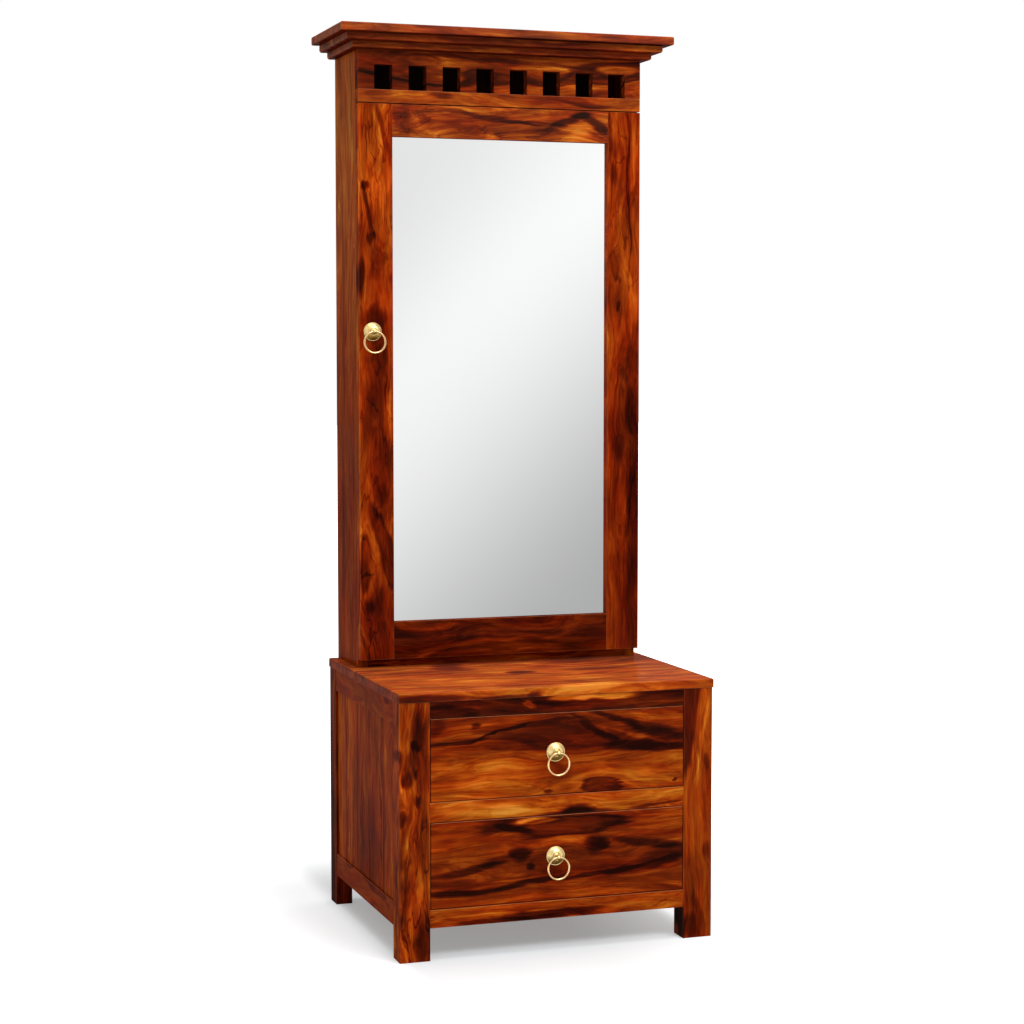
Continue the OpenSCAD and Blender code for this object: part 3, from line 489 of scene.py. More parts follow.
def chest_marks():
    """Knots, rivers and eyes on the boards of the chest."""
    return {
        "base_top": [
            Mark(-10, -60, 36, 17, 0.50, soft=0.4, swirl=8),
            Mark(160, -58, 60, 14, 0.30, soft=0.6),
            Mark(-125, 60, 34, 60, 0.28),
            Mark(-170, -30, 90, 60, 0.12, soft=0.6),
            Mark(220, 60, 110, 60, 0.22, soft=0.7),
            Mark(40, 90, 130, 14, 0.20, soft=0.6),
            Mark(-250, -270, 90, 9, 0.40, through=-4, depth=9, soft=0.3),
            Mark(-120, -270, 90, 9, 0.40, through=-9, depth=7, soft=0.3),
            Mark(-45, -270, 20, 8, 0.44, through=-4, depth=10, soft=0.3),
            Mark(110, -262, 120, 20, -0.16, through=0, depth=20, soft=0.3),
            Mark(250, -268, 50, 12, 0.36, through=-13, depth=5, soft=0.3),
        ],
        "front_top_rail": [
            Mark(78, 13, 84, 9, -0.56, soft=0.3),
            Mark(-15, 6, 36, 7, 0.16, tilt=-14, soft=0.35),
            Mark(-46, 3, 13, 8, -0.30, swirl=6),
            Mark(-140, 2, 60, 4, -0.10, tilt=2, soft=0.6),
            Mark(210, -5, 60, 6, -0.12, tilt=4, soft=0.6),
        ],
        "front_middle_rail": [
            Mark(40, -13, 30, 9, 0.62, swirl=9),
            Mark(32, -18, 70, 5, 0.46),
            Mark(200, -11, 62, 3, 0.30, tilt=3),
            Mark(-150, 0, 110, 12, -0.08, soft=0.7),
        ],
        "front_bottom_rail": [
            Mark(-5, -8, 100, 8, 0.46, soft=0.35),
            Mark(-120, -15, 90, 5, 0.40, soft=0.3),
        ],
        "upper_drawer_front": [
            Mark(-205, 33, 68, 4, 0.40, tilt=3, soft=0.3),
            Mark(-112, 48, 56, 3, 0.38, tilt=13, soft=0.3),
            Mark(10, 30, 130, 26, 0.19),
            Mark(-20, 60, 66, 4, 0.22, tilt=6),
            Mark(62, 50, 46, 6, 0.26, tilt=-32),
            Mark(118, 61, 56, 5, 0.32, tilt=-17),
            Mark(208, 31, 60, 10, 0.36, tilt=-16),
            Mark(150, 10, 60, 11, 0.42, soft=0.4),
            Mark(215, 2, 60, 7, 0.32, tilt=-3, soft=0.4),
            Mark(92, 28, 22, 9, 0.24, tilt=-30, soft=0.6),
            Mark(150, 32, 66, 4, -0.16, tilt=-15),
            Mark(-150, 64, 90, 12, -0.10, soft=0.6),
            Mark(200, 64, 60, 12, -0.20, tilt=-10, soft=0.4),
            Mark(-174, 57, 9, 5, 0.30, swirl=6),
            Mark(-250, 64, 14, 16, 0.18, soft=0.6),
            Mark(84, -68, 37, 15, 0.34, swirl=9, rim=0.22, soft=0.3),
            Mark(-33, -71, 9, 4, 0.26, swirl=6),
            Mark(240, -64, 6, 4, 0.32, swirl=5),
            Mark(-235, -44, 30, 20, 0.10, soft=0.6),
            Mark(5, -40, 20, 30, 0.10, soft=0.7),
            Mark(-120, -22, 110, 20, -0.05, soft=0.7),
        ],
        "lower_drawer_front": [
            Mark(-132, 66, 36, 15, 0.32, swirl=6),
            Mark(-100, 60, 34, 6, 0.32, tilt=-12, soft=0.4),
            Mark(20, 60, 112, 17, 0.20, tilt=2, rim=0.26, swirl=6, soft=0.2),
            Mark(108, 66, 24, 11, 0.16),
            Mark(-55, 72, 44, 7, -0.34, soft=0.3),
            Mark(-20, 33, 70, 7, -0.14, tilt=5),
            Mark(-71, 11, 19, 15, 0.44, swirl=7),
            Mark(-53, -14, 9, 6, 0.34),
            Mark(70, 20, 22, 16, 0.46, tilt=-15, swirl=7),
            Mark(15, -8, 150, 24, 0.17, soft=0.4),
            Mark(180, 18, 90, 8, 0.34, tilt=-9),
            Mark(222, -6, 44, 18, 0.34, soft=0.6),
            Mark(140, -30, 60, 9, 0.22, tilt=14),
            Mark(-190, -14, 74, 7, 0.34, tilt=8, soft=0.4),
            Mark(-120, 2, 40, 6, 0.26, tilt=12),
            Mark(-180, -52, 84, 6, 0.42, tilt=1, soft=0.4),
            Mark(-50, -43, 70, 5, 0.42, tilt=6, soft=0.4),
            Mark(90, -36, 90, 5, 0.36, tilt=5, soft=0.4),
            Mark(215, -24, 60, 8, 0.34, tilt=10),
            Mark(-190, -34, 70, 14, 0.14, soft=0.6),
            Mark(-80, -24, 40, 9, -0.12, tilt=6),
            Mark(0, -72, 250, 9, -0.06),
            Mark(200, 52, 70, 22, -0.05, soft=0.6),
        ],
        "front_left_post": [
            Mark(170, 6, 9, 8, 0.44, swirl=7),
            Mark(150, 12, 95, 16, 0.22, soft=0.4),
            Mark(212, -6, 42, 24, 0.22),
            Mark(151, -26, 12, 6, 0.34, swirl=5),
            Mark(101, -15, 12, 8, 0.36, swirl=6),
            Mark(112, 3, 12, 6, 0.24, swirl=4),
            Mark(63, 6, 9, 6, 0.30, swirl=7),
            Mark(138, -6, 30, 8, 0.22, tilt=14),
            Mark(30, -22, 12, 8, 0.24, swirl=9),
            Mark(190, -22, 50, 6, -0.14, soft=0.6),
            Mark(85, -18, 40, 9, -0.20, soft=0.6),
            Mark(-10, 16, 60, 14, 0.16),
            Mark(-90, -22, 80, 8, 0.22, soft=0.6),
            Mark(-80, 10, 100, 10, -0.10, tilt=8, soft=0.6),
            Mark(-205, 16, 46, 16, 0.30),
        ],
        "front_right_post": [
            Mark(215, -20, 140, 21, 0.27, tilt=5, soft=0.14, rim=0.08),
            Mark(120, 4, 70, 6, -0.16, tilt=10, soft=0.4),
            Mark(200, 16, 80, 9, -0.14),
            Mark(96, 20, 14, 6, 0.20, swirl=6),
            Mark(-66, 18, 16, 7, 0.18, swirl=6),
            Mark(-120, -16, 60, 12, 0.12, soft=0.6),
            Mark(-190, 2, 34, 8, 0.18, tilt=-20),
            Mark(-226, -14, 28, 18, 0.30, soft=0.4),
            # Painted shadow on the leg's left face and the foot of its front
            Mark(-215, -33, 44, 6, 0.50, soft=0.2),
        ],
    }


def cabinet_marks():
    """Knots and flames on the boards of the cabinet and its door."""
    return {
        "left_side_panel": [
            Mark(97, 150, 34, 14, 0.14, soft=0.6),
            Mark(-90, -40, 90, 44, 0.15, soft=0.6),
            Mark(90, -140, 90, 12, -0.12, soft=0.6),
            Mark(-46, 130, 120, 14, -0.10, soft=0.6),
            Mark(20, 60, 100, 14, 0.10, soft=0.6),
            Mark(120, 20, 60, 12, -0.08, soft=0.6),
        ],
        "pull_stile": [
            Mark(440, 0, 140, 60, -0.06, soft=0.6),
            Mark(0, -38, 620, 5, -0.14, soft=0.4),
            Mark(505, 16, 48, 6, 0.24, tilt=-12),
            Mark(500, 6, 50, 4, -0.14, tilt=-12),
            Mark(440, 24, 34, 8, 0.14, soft=0.6),
            Mark(389, -22, 9, 9, 0.44, swirl=8),
            Mark(345, -17, 42, 5, 0.32, tilt=-12),
            Mark(297, -12, 9, 8, 0.34, swirl=5),
            Mark(250, 4, 40, 16, 0.14, swirl=8),
            Mark(212, -30, 34, 6, 0.36),
            Mark(130, 0, 26, 24, 0.26, swirl=8),
            Mark(85, 14, 50, 16, 0.16, soft=0.6),
            Mark(20, -4, 60, 30, 0.16, soft=0.6),
            Mark(-60, -4, 70, 20, 0.20, soft=0.6),
            Mark(-60, 28, 46, 5, -0.16),
            Mark(-190, 16, 88, 25, 0.22, rim=0.06, soft=0.3),
            Mark(-216, 14, 24, 12, 0.16),
            Mark(-350, 27, 105, 17, 0.30, tilt=-20, rim=0.12, soft=0.2),
            Mark(-290, 0, 24, 12, -0.04, soft=0.6),
            Mark(-400, -17, 110, 14, -0.06, tilt=-12, soft=0.6),
            Mark(-505, 6, 90, 34, 0.26, soft=0.6),
            Mark(-455, -14, 16, 9, 0.24, swirl=6),
            Mark(-100, 0, 480, 60, 0.03, soft=0.6),
        ],
        "hinge_stile": [
            Mark(497, -20, 20, 9, 0.16),
            Mark(438, -20, 30, 8, 0.18),
            Mark(390, 12, 165, 3, 0.26),
            Mark(450, 26, 150, 8, -0.08, soft=0.6),
            Mark(250, -18, 26, 12, 0.14, swirl=9),
            Mark(162, -10, 14, 5, 0.36, swirl=7),
            Mark(40, 10, 40, 26, 0.12, soft=0.6),
            Mark(-260, 6, 310, 44, 0.18),
            Mark(-60, 18, 34, 16, 0.18, swirl=6),
            Mark(-290, 24, 290, 14, 0.20),
            Mark(-140, -8, 26, 12, 0.12, swirl=6),
            Mark(-180, -26, 60, 6, -0.10, soft=0.6),
            Mark(-420, -18, 110, 8, -0.10, soft=0.6),
        ],
        "door_top_rail": [
            Mark(-206, 0, 22, 22, 0.24),
            Mark(-160, 4, 12, 10, 0.18),
            Mark(-20, 12, 90, 4, 0.34, tilt=-8, soft=0.4),
            Mark(70, 2, 70, 4, 0.30, tilt=-2, soft=0.4),
            Mark(-40, -10, 110, 10, 0.14, soft=0.7),
            Mark(136, 8, 44, 8, 0.38, tilt=26),
            Mark(206, 8, 42, 9, 0.42, tilt=-28),
            Mark(170, 25, 26, 6, 0.36),
            Mark(172, -8, 30, 13, -0.16, soft=0.4),
            Mark(0, 29, 200, 4, -0.10),
        ],
        "door_bottom_rail": [
            Mark(-120, 24, 60, 6, -0.14, soft=0.6),
            Mark(150, -12, 90, 8, -0.12, tilt=3, soft=0.6),
        ],
        "frieze_board": [
            Mark(-240, 0, 80, 60, 0.18, soft=0.6),
            Mark(0, 28, 150, 4, 0.30, tilt=-2),
            Mark(120, 20, 100, 5, -0.16, tilt=-5, soft=0.6),
            Mark(200, -20, 80, 8, -0.12, tilt=-5, soft=0.6),
        ],
        "frieze_rail": [
            Mark(-125, 4, 28, 6, 0.36),
            Mark(190, -2, 60, 5, 0.32, tilt=-5),
            Mark(-170, 2, 90, 7, -0.10, soft=0.6),
        ],
        "cornice_top_board": [
            Mark(110, -120, 40, 12, 0.16, soft=0.6),
            Mark(190, -120, 90, 14, -0.10, soft=0.6),
        ],
        "cabinet_left_side": [
            Mark(231, -64, 4, 3, -0.40, soft=0.15),
            Mark(211, -64, 18, 2, 0.34, soft=0.3),
            # Painted light: the upper part of the side is lighter and the lower part darker, as the light on
            # it falls off downward
            Mark(430, 0, 330, 200, -0.14, soft=0.9),
            Mark(-380, 0, 300, 200, 0.06, soft=0.9),
            Mark(-330, 30, 170, 12, 0.14, soft=0.6),
            Mark(60, 20, 220, 8, 0.14, soft=0.6),
            Mark(-100, -50, 260, 8, 0.10, soft=0.6),
        ],
    }


def wood_boards():
    """Name of each rosewood board and how it is cut."""
    # The haze entries give each board a painted sheen, and climb makes it grow toward the top
    boards = {
        "base_top": dict(axes=FLAT_WIDE, tone=0.09, heart=-0.10, pith=(0.05, -0.08), coat=0.04,
                         haze_and_sheen=(0.010, 0.0, 0.015), vigour=0.9, end=0.14),
        "front_top_rail": dict(tone=-0.42, heart=-0.12),
        "front_middle_rail": dict(tone=0.14, heart=-0.20),
        "front_bottom_rail": dict(tone=0.06, heart=-0.15),
        "back_top_rail": dict(tone=-0.05),
        "back_bottom_rail": dict(tone=-0.02),
        # The drawer fronts take painted shade on arrises that don't look up, and a stronger painted
        # highlight on those that do
        "upper_drawer_front": dict(tone=0.045, heart=-0.12, pith=(-0.03, 0.06),
                                   glue=(6, -3, -0.16), vigour=0.9, painted_arris_shade=0.8),
        "lower_drawer_front": dict(tone=-0.06, heart=-0.12, vigour=0.9, painted_arris_shade=0.8),
        "frieze_rail": dict(tone=0.03, heart=-0.12, haze_and_sheen=(0.010, 0.006, 0.003)),
        "frieze_board": dict(tone=-0.025, heart=-0.08, haze_and_sheen=(0.010, 0.004, 0.003)),
        "cornice_low_board": dict(tone=-0.02, haze_and_sheen=(0.08, 0.008, 0.0), heart=-0.10),
        "cornice_middle_board": dict(tone=0.0, haze_and_sheen=(0.08, 0.010, 0.0), heart=-0.10),
        "cornice_top_board": dict(tone=-0.02, haze_and_sheen=(0.08, 0.016, 0.0), heart=-0.06),
        "door_top_rail": dict(tone=0.02, heart=-0.12, vigour=1.1, veins=0.22,
                              haze_and_sheen=(0.010, 0.008, 0.003)),
        "door_bottom_rail": dict(tone=-0.24, heart=-0.04),
        "pull_stile": dict(axes=FRONT_TALL, tone=0.035, heart=-0.12, curl=1.8, veins=0.26, ruddy=0.15),
        "hinge_stile": dict(axes=FRONT_TALL, tone=0.01, heart=-0.12, veins=0.16, ruddy=0.15),
        "front_left_post": dict(axes=FRONT_TALL, tone=0.025, heart=-0.12, curl=3.2, vigour=1.15, veins=0.30),
        "front_right_post": dict(axes=FRONT_TALL, tone=-0.02, heart=-0.14, curl=1.5, vigour=0.75),
        "back_left_post": dict(axes=FRONT_TALL, tone=-0.20),
        "back_right_post": dict(axes=FRONT_TALL, tone=-0.05),
        "cabinet_left_side": dict(axes=SIDE_TALL, tone=0.04, heart=-0.08, vigour=0.65,
                                  haze_and_sheen=(0.0135, 0.0, 0.003), climb=0.8),
        "cabinet_right_side": dict(axes=SIDE_TALL, tone=-0.02),
        "left_side_panel": dict(axes=SIDE_TALL, tone=0.08, planks=104, vigour=0.6, curl=2.5,
                                haze_and_sheen=(0.006, 0.0, 0.0)),
        "right_side_panel": dict(axes=SIDE_TALL, tone=-0.02, planks=104, vigour=0.8),
        "left_top_rail": dict(axes=SIDE_WIDE, tone=-0.03, vigour=0.5, heart=-0.1),
        "left_bottom_rail": dict(axes=SIDE_WIDE, tone=-0.03, vigour=0.5, heart=-0.1,
                                 haze_and_sheen=(0.012, 0.0, 0.003)),
        "right_top_rail": dict(axes=SIDE_WIDE, tone=-0.08),
        "right_bottom_rail": dict(axes=SIDE_WIDE, tone=-0.04),
        "cabinet_bottom": dict(axes=FLAT_WIDE, tone=-0.05),
        "cabinet_ceiling": dict(axes=FLAT_WIDE, tone=-0.05),
        "mirror_beads": dict(axes=FRONT_TALL, tone=0.05, heart=-0.10),
    }
    for number in (1, 2, 3):
        boards[f"shelf_{number}"] = dict(axes=FLAT_WIDE, tone=0.0)
    for seed, cut in enumerate(boards.values(), 1):
        cut["seed"] = seed
    for name, marks in {**chest_marks(), **cabinet_marks()}.items():
        boards[name]["marks"] = marks
    return boards


DRAWER_ARRIS = 1.1 * MM
BOARD_ARRIS = 0.8 * MM
BOX_ARRIS = 0.5 * MM
PLYWOOD_ARRIS = 0.3 * MM


def ease_edges(piece, width):
    """Rounds a board's arrises a little, as sanding does."""
    weld = piece.modifiers.new("weld", "WELD")
    weld.merge_threshold = 0.01 * MM
    bevel = piece.modifiers.new("bevel", "BEVEL")
    bevel.width = width
    bevel.segments = 2
    bevel.limit_method = "ANGLE"
    bevel.angle_limit = math.radians(35)
    bevel.use_clamp_overlap = True
    normals = piece.modifiers.new("normals", "WEIGHTED_NORMAL")
    normals.weight = 60


def dress(name, material):
    piece = nodes[name]
    piece.data.materials.clear()
    piece.data.materials.append(material)


def dress_boards():
    for name, cut in wood_boards().items():
        dress(name, wood_material(name, **cut))
        ease_edges(nodes[name], DRAWER_ARRIS if "drawer" in name else BOARD_ARRIS)


# Other materials

PALE_WOOD_STOPS = [(0.0, rgb(122, 82, 46)), (0.5, rgb(170, 122, 74)), (1.0, rgb(198, 152, 100))]
PLYWOOD_STOPS = [(0.0, rgb(140, 92, 54)), (0.5, rgb(178, 128, 82)), (1.0, rgb(204, 160, 112))]
# Dark stain of the backs, made darker still as painted shade for the inside of the cabinet seen through the
# frieze holes
STAIN_AND_SHADE_STOPS = [(0.0, rgb(40, 16, 8)), (0.5, rgb(66, 30, 14)), (1.0, rgb(98, 50, 26))]


def pale_wood_material(name, axes):
    """Oiled pale hardwood of the drawer boxes and runners."""
    material, graph, shader = new_material(name)
    place = board_place(graph, axes, name)
    grain = graph.noise(place, (6, 90, 90), 4, 0.6)
    fibres = graph.noise(place, (25, 900, 900), 3, 0.6)
    tone = graph.total(graph.swing(grain, 0.55), graph.swing(fibres, 0.35), 0.5)
    graph.fill(shader, {"Base Color": graph.ramp(tone, PALE_WOOD_STOPS), "Specular IOR Level": 0.2,
                        "Roughness": graph.total(graph.swing(fibres, 0.12), 0.5),
                        "Normal": graph.bump(fibres, 0.15, 0.3 * MM)})
    return material


def plywood_material(name, axes, stops=PLYWOOD_STOPS):
    """Plywood with a rotary-cut veneer: sealed, or with the given stops dark from stain and painted shade.
    """
    material, graph, shader = new_material(name)
    place = board_place(graph, axes, name)
    sway = graph.vector("MULTIPLY", graph.noise(place, (1.5, 5, 5), 2, 0.5, "Color"), (0.0, 0.10, 0.0))
    grain = graph.noise(graph.vector("ADD", place, sway), (0.8, 42, 42), 4, 0.6)
    fibres = graph.noise(place, (20, 700, 700), 2, 0.6)
    tone = graph.total(graph.swing(grain, 0.8), graph.swing(fibres, 0.4), 0.5)
    graph.fill(shader, {"Base Color": graph.ramp(tone, stops), "Specular IOR Level": 0.06,
                        "Roughness": graph.total(graph.swing(grain, 0.1), 0.55),
                        "Normal": graph.bump(fibres, 0.12, 0.3 * MM)})
    return material


def brass_material(name, bright, deep, dark_reflection_below, rough):
    """Cast brass, darker and browner where it faces down: a painted reflection of the wood and the shade
    below it.
    """
    material, graph, shader = new_material(name)
    source = graph.node("ShaderNodeTexCoord").outputs
    clouds = graph.noise(source["Object"], (230, 230, 230), 3, 0.6)
    scratches = graph.noise(source["Object"], (2600, 300, 2600), 2, 0.6)
    clean = graph.mix(graph.remap(clouds, 0.35, 0.7), bright, deep)
    # Painted reflection: faces that look down turn toward the dark colour
    down = graph.remap(graph.split(source["Normal"])["Z"], 0.35, -0.5, 0.0, 1.0)
    rough = graph.total(graph.swing(clouds, 0.08), graph.swing(scratches, 0.05), rough)
    graph.fill(shader, {"Base Color": graph.mix(down, clean, dark_reflection_below), "Metallic": 1.0,
                        "Roughness": rough, "Normal": graph.bump(scratches, 0.05, 0.1 * MM)})
    return material


def steel_material():
    """Brushed steel of the hinges, screws and nuts."""
    material, graph, shader = new_material("brushed steel")
    place = graph.here()
    brushing = graph.noise(place, (3000, 3000, 60), 3, 0.6)
    clouds = graph.noise(place, (90, 90, 90), 2, 0.5)
    colour = graph.mix(clouds, rgb(146, 145, 142), rgb(172, 171, 166))
    graph.fill(shader, {"Base Color": colour, "Metallic": 1.0,
                        "Roughness": graph.total(graph.swing(brushing, 0.12), 0.36),
                        "Normal": graph.bump(brushing, 0.08, 0.1 * MM)})
    return material


def mirror_material():
    """Silvered glass: a clean mirror with a breath of haze."""
    material, graph, shader = new_material("silvered glass")
    haze_and_sheen = graph.noise(graph.here(), (5, 5, 5), 2, 0.5)
    colour = graph.mix(haze_and_sheen, rgb(251, 252, 252), rgb(253, 253, 253))
    graph.fill(shader, {"Base Color": colour, "Metallic": 1.0,
                        "Roughness": graph.remap(haze_and_sheen, 0.3, 0.8, 0.0, 0.012)})
    return material


def catch_material():
    """Brown moulded plastic with a fine grain."""
    material, graph, shader = new_material("brown catch")
    grain = graph.noise(graph.here(), (1800, 1800, 1800), 2, 0.5)
    colour = graph.mix(grain, rgb(74, 46, 30), rgb(92, 58, 38))
    graph.fill(shader, {"Base Color": colour, "Roughness": graph.total(graph.swing(grain, 0.1), 0.5),
                        "Normal": graph.bump(grain, 0.2, 0.1 * MM)})
    return material


def dress_the_rest(steel):
    # The third colour of each brass is its painted dark reflection below
    boss_brass = brass_material("boss brass", rgb(244, 219, 158), rgb(226, 190, 116), rgb(112, 88, 36), 0.38)
    ring_brass = brass_material("ring brass", rgb(246, 212, 160), rgb(232, 186, 124), rgb(146, 98, 46), 0.27)
    # The backs take the dark stain that doubles as painted shade
    for name in ("base_back_panel", "cabinet_back"):
        dress(name, plywood_material(name, FRONT_TALL, STAIN_AND_SHADE_STOPS))
    dress("mirror_backing", plywood_material("mirror_backing", FRONT_TALL))
    for drawer in ("upper_drawer", "lower_drawer"):
        dress(f"{drawer}_bottom", plywood_material(f"{drawer}_bottom", FLAT_WIDE))
        dress(f"{drawer}_back", pale_wood_material(f"{drawer}_back", FRONT_WIDE))
        for side in ("left", "right"):
            dress(f"{drawer}_{side}_side", pale_wood_material(f"{drawer}_{side}_side", SIDE_WIDE))
    for side in ("left", "right"):
        dress(f"{side}_runners", pale_wood_material(f"{side}_runners", SIDE_WIDE))
    for pull in ("door", "upper", "lower"):
        dress(f"{pull}_pull_boss", boss_brass)
        dress(f"{pull}_pull_ring", ring_brass)
    for name in ("carcass_hinge_leaves", "door_hinge_leaves", "hinge_pins", "strike_plate"):
        dress(name, steel)
    dress("mirror_glass", mirror_material())
    dress("magnet_catch", catch_material())
    for name in ("base_back_panel", "cabinet_back", "mirror_backing", "left_runners", "right_runners"):
        ease_edges(nodes[name], PLYWOOD_ARRIS)
    for drawer in ("upper_drawer", "lower_drawer"):
        for part in ("bottom", "back", "left_side", "right_side"):
            ease_edges(nodes[f"{drawer}_{part}"], BOX_ARRIS)


# Small fasteners

LEAF_WIDTH = 16 * MM
LEAF_THICK = 0.9 * MM
HINGE_LENGTH = 75 * MM
HINGES = 3
LEAF_SCREWS = 3
SHANK_OUT = 7 * MM
EAR_WIDTH = 9 * MM
EAR_THICK = 2 * MM
EAR_BACK = 2 * MM
STRIKE_SCREW_IN = 5 * MM
SLOT_HALF = 0.45 * MM
POLE_HALF_LENGTH = 10 * MM
POLE_HALF_THICK = 0.7 * MM
POLE_PROUD = 0.15 * MM
POLE_HEIGHTS = (0.3, 0.7)
WASHER_RADIUS = 5 * MM
WASHER_BORE = 2.65 * MM
WASHER_THICK = 1 * MM
WASHER_EASED_UP = 0.15 * MM
WASHER_EASED_IN = 0.1 * MM
NUT_FLATS = 8 * MM
NUT_BORE = 2.55 * MM
NUT_THICK = 4 * MM
NUT_CHAMFER_UP = 0.3 * MM
NUT_CHAMFER_IN = 0.4 * MM
ROUND = 24
OUT_FRONT = Vector((0, -1, 0))
OUT_BACK = Vector((0, 1, 0))
OUT_DOWN = Vector((0, 0, -1))


def disc(radius):
    """Points of a circle."""
    return [(radius * math.cos(turn), radius * math.sin(turn))
            for turn in (2 * math.pi * i / ROUND for i in range(ROUND))]


def hexagon(flats):
    """Points of a hexagon with the given width across its flats, as many as a circle has."""
    points = []
    for i in range(ROUND):
        turn = 2 * math.pi * i / ROUND
        off_flat = (turn + math.pi / 6) % (math.pi / 3) - math.pi / 6
        reach = flats / 2 / math.cos(off_flat)
        points.append((reach * math.cos(turn), reach * math.sin(turn)))
    return points


def half_disc(radius, side):
    """Points of the part of a circle on one side of a screw's slot."""
    start = math.asin(SLOT_HALF / radius)
    steps = ROUND // 2
    turns = [start + (math.pi - 2 * start) * i / steps for i in range(steps + 1)]
    return [(radius * math.cos(turn), side * radius * math.sin(turn)) for turn in turns]


class Solids:
    """Gathers closed solids for one new piece. Heights run out of the face that the piece sits on."""

    def __init__(self):
        self.mesh = bmesh.new()

    def add(self, place, out, levels, ring=False):
        """A solid through levels of height and outline: capped, or closed into a ring."""
        turn = out.to_track_quat("Z", "Y")
        loops = []
        for height, outline in levels:
            loops.append([self.mesh.verts.new(place + turn @ Vector((x, y, height))) for x, y in outline])
        pairs = list(zip(loops, loops[1:]))
        if ring:
            pairs.append((loops[-1], loops[0]))
        else:
            self.mesh.faces.new(loops[0])
            self.mesh.faces.new(loops[-1])
        for lower, upper in pairs:
            for i in range(len(lower)):
                j = (i + 1) % len(lower)
                self.mesh.faces.new((lower[i], lower[j], upper[j], upper[i]))

    def slotted_head(self, place, out, profile, slot_floor):
        """A screw head of rising heights and radii, with a slot down to one of its heights."""
        below = [level for level in profile if level[0] <= slot_floor]
        above = [level for level in profile if level[0] >= slot_floor]
        self.add(place, out, [(height, disc(radius)) for height, radius in below])
        for side in (-1, 1):
            self.add(place, out, [(height, half_disc(radius, side)) for height, radius in above])

    def finish(self, name, body, material):
        bmesh.ops.recalc_face_normals(self.mesh, faces=self.mesh.faces)
        data = bpy.data.meshes.new(name)
        self.mesh.to_mesh(data)
        self.mesh.free()
        data.materials.append(material)
        piece = new_object(name, data)
        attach(piece, body)


COUNTERSUNK = [(-0.75 * MM, 2.25 * MM), (-0.5 * MM, 2.5 * MM), (-0.15 * MM, 2.9 * MM), (0.0, 3.02 * MM)]
PAN_HEAD = [(0.0, 3.0 * MM), (0.6 * MM, 3.0 * MM), (1.1 * MM, 2.7 * MM), (1.5 * MM, 1.9 * MM)]


def hinge_screws(steel):
    """Countersunk slotted screws, flush in both leaves of every hinge."""
    low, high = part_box("carcass_hinge_leaves")
    step = (high.z - low.z - HINGE_LENGTH) / (HINGES - 1)
    carcass_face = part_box("cabinet_right_side")[0].y - LEAF_THICK
    door_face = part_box("hinge_stile")[1].y + LEAF_THICK
    for name, body, face, out in (("carcass_hinge_screws", "carcass", carcass_face, OUT_FRONT),
                                  ("door_hinge_screws", "door", door_face, OUT_BACK)):
        screws = Solids()
        for hinge in range(HINGES):
            for i in range(LEAF_SCREWS):
                height = low.z + hinge * step + (i + 0.5) * HINGE_LENGTH / LEAF_SCREWS
                place = Vector((low.x + LEAF_WIDTH / 2, face, height))
                screws.slotted_head(place, out, COUNTERSUNK, COUNTERSUNK[1][0])
        screws.finish(name, body, steel)


def catch_fittings(steel):
    """The screws of the magnet catch and of its plate, and the catch's two steel pole edges."""
    low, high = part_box("magnet_catch")
    middle_y = (low.y + EAR_BACK + high.y) / 2
    screws = Solids()
    for x in (low.x + EAR_WIDTH / 2, high.x - EAR_WIDTH / 2):
        screws.slotted_head(Vector((x, middle_y, high.z - EAR_THICK)), OUT_DOWN, PAN_HEAD, PAN_HEAD[1][0])
    screws.finish("catch_screws", "carcass", steel)

    plate_low, plate_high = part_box("strike_plate")
    screws = Solids()
    for x in (plate_low.x + STRIKE_SCREW_IN, plate_high.x - STRIKE_SCREW_IN):
        place = Vector((x, plate_high.y, (plate_low.z + plate_high.z) / 2))
        screws.slotted_head(place, OUT_BACK, COUNTERSUNK, COUNTERSUNK[1][0])
    screws.finish("strike_screws", "door", steel)

    poles = Solids()
    outline = [(-POLE_HALF_LENGTH, -POLE_HALF_THICK), (POLE_HALF_LENGTH, -POLE_HALF_THICK),
               (POLE_HALF_LENGTH, POLE_HALF_THICK), (-POLE_HALF_LENGTH, POLE_HALF_THICK)]
    for share in POLE_HEIGHTS:
        place = Vector(((low.x + high.x) / 2, low.y, low.z + share * (high.z - low.z)))
        poles.add(place, OUT_FRONT, [(-POLE_PROUD, outline), (POLE_PROUD, outline)])
    poles.finish("catch_poles", "carcass", steel)


def pull_nuts(steel):
    """A washer and a hexagon nut on the shank behind each pull."""
    rim = disc(WASHER_RADIUS)
    rim_end = disc(WASHER_RADIUS - WASHER_EASED_IN)
    bore = disc(WASHER_BORE)
    washer = [(0.0, rim_end), (WASHER_EASED_UP, rim), (WASHER_THICK - WASHER_EASED_UP, rim),
              (WASHER_THICK, rim_end), (WASHER_THICK, bore), (0.0, bore)]
    top = WASHER_THICK + NUT_THICK
    flats = hexagon(NUT_FLATS)
    flats_end = hexagon(NUT_FLATS - NUT_CHAMFER_IN)
    bore = disc(NUT_BORE)
    nut = [(WASHER_THICK, flats_end), (WASHER_THICK + NUT_CHAMFER_UP, flats), (top - NUT_CHAMFER_UP, flats),
           (top, flats_end), (top, bore), (WASHER_THICK, bore)]
    for pull, body in (("door", "door"), ("upper", "upper_drawer"), ("lower", "lower_drawer")):
        low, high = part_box(f"{pull}_pull_boss")
        place = Vector(((low.x + high.x) / 2, high.y - SHANK_OUT, (low.z + high.z) / 2))
        for part, levels in (("washer", washer), ("nut", nut)):
            solid = Solids()
            solid.add(place, OUT_BACK, levels, ring=True)
            solid.finish(f"{pull}_pull_{part}", body, steel)


# Studio

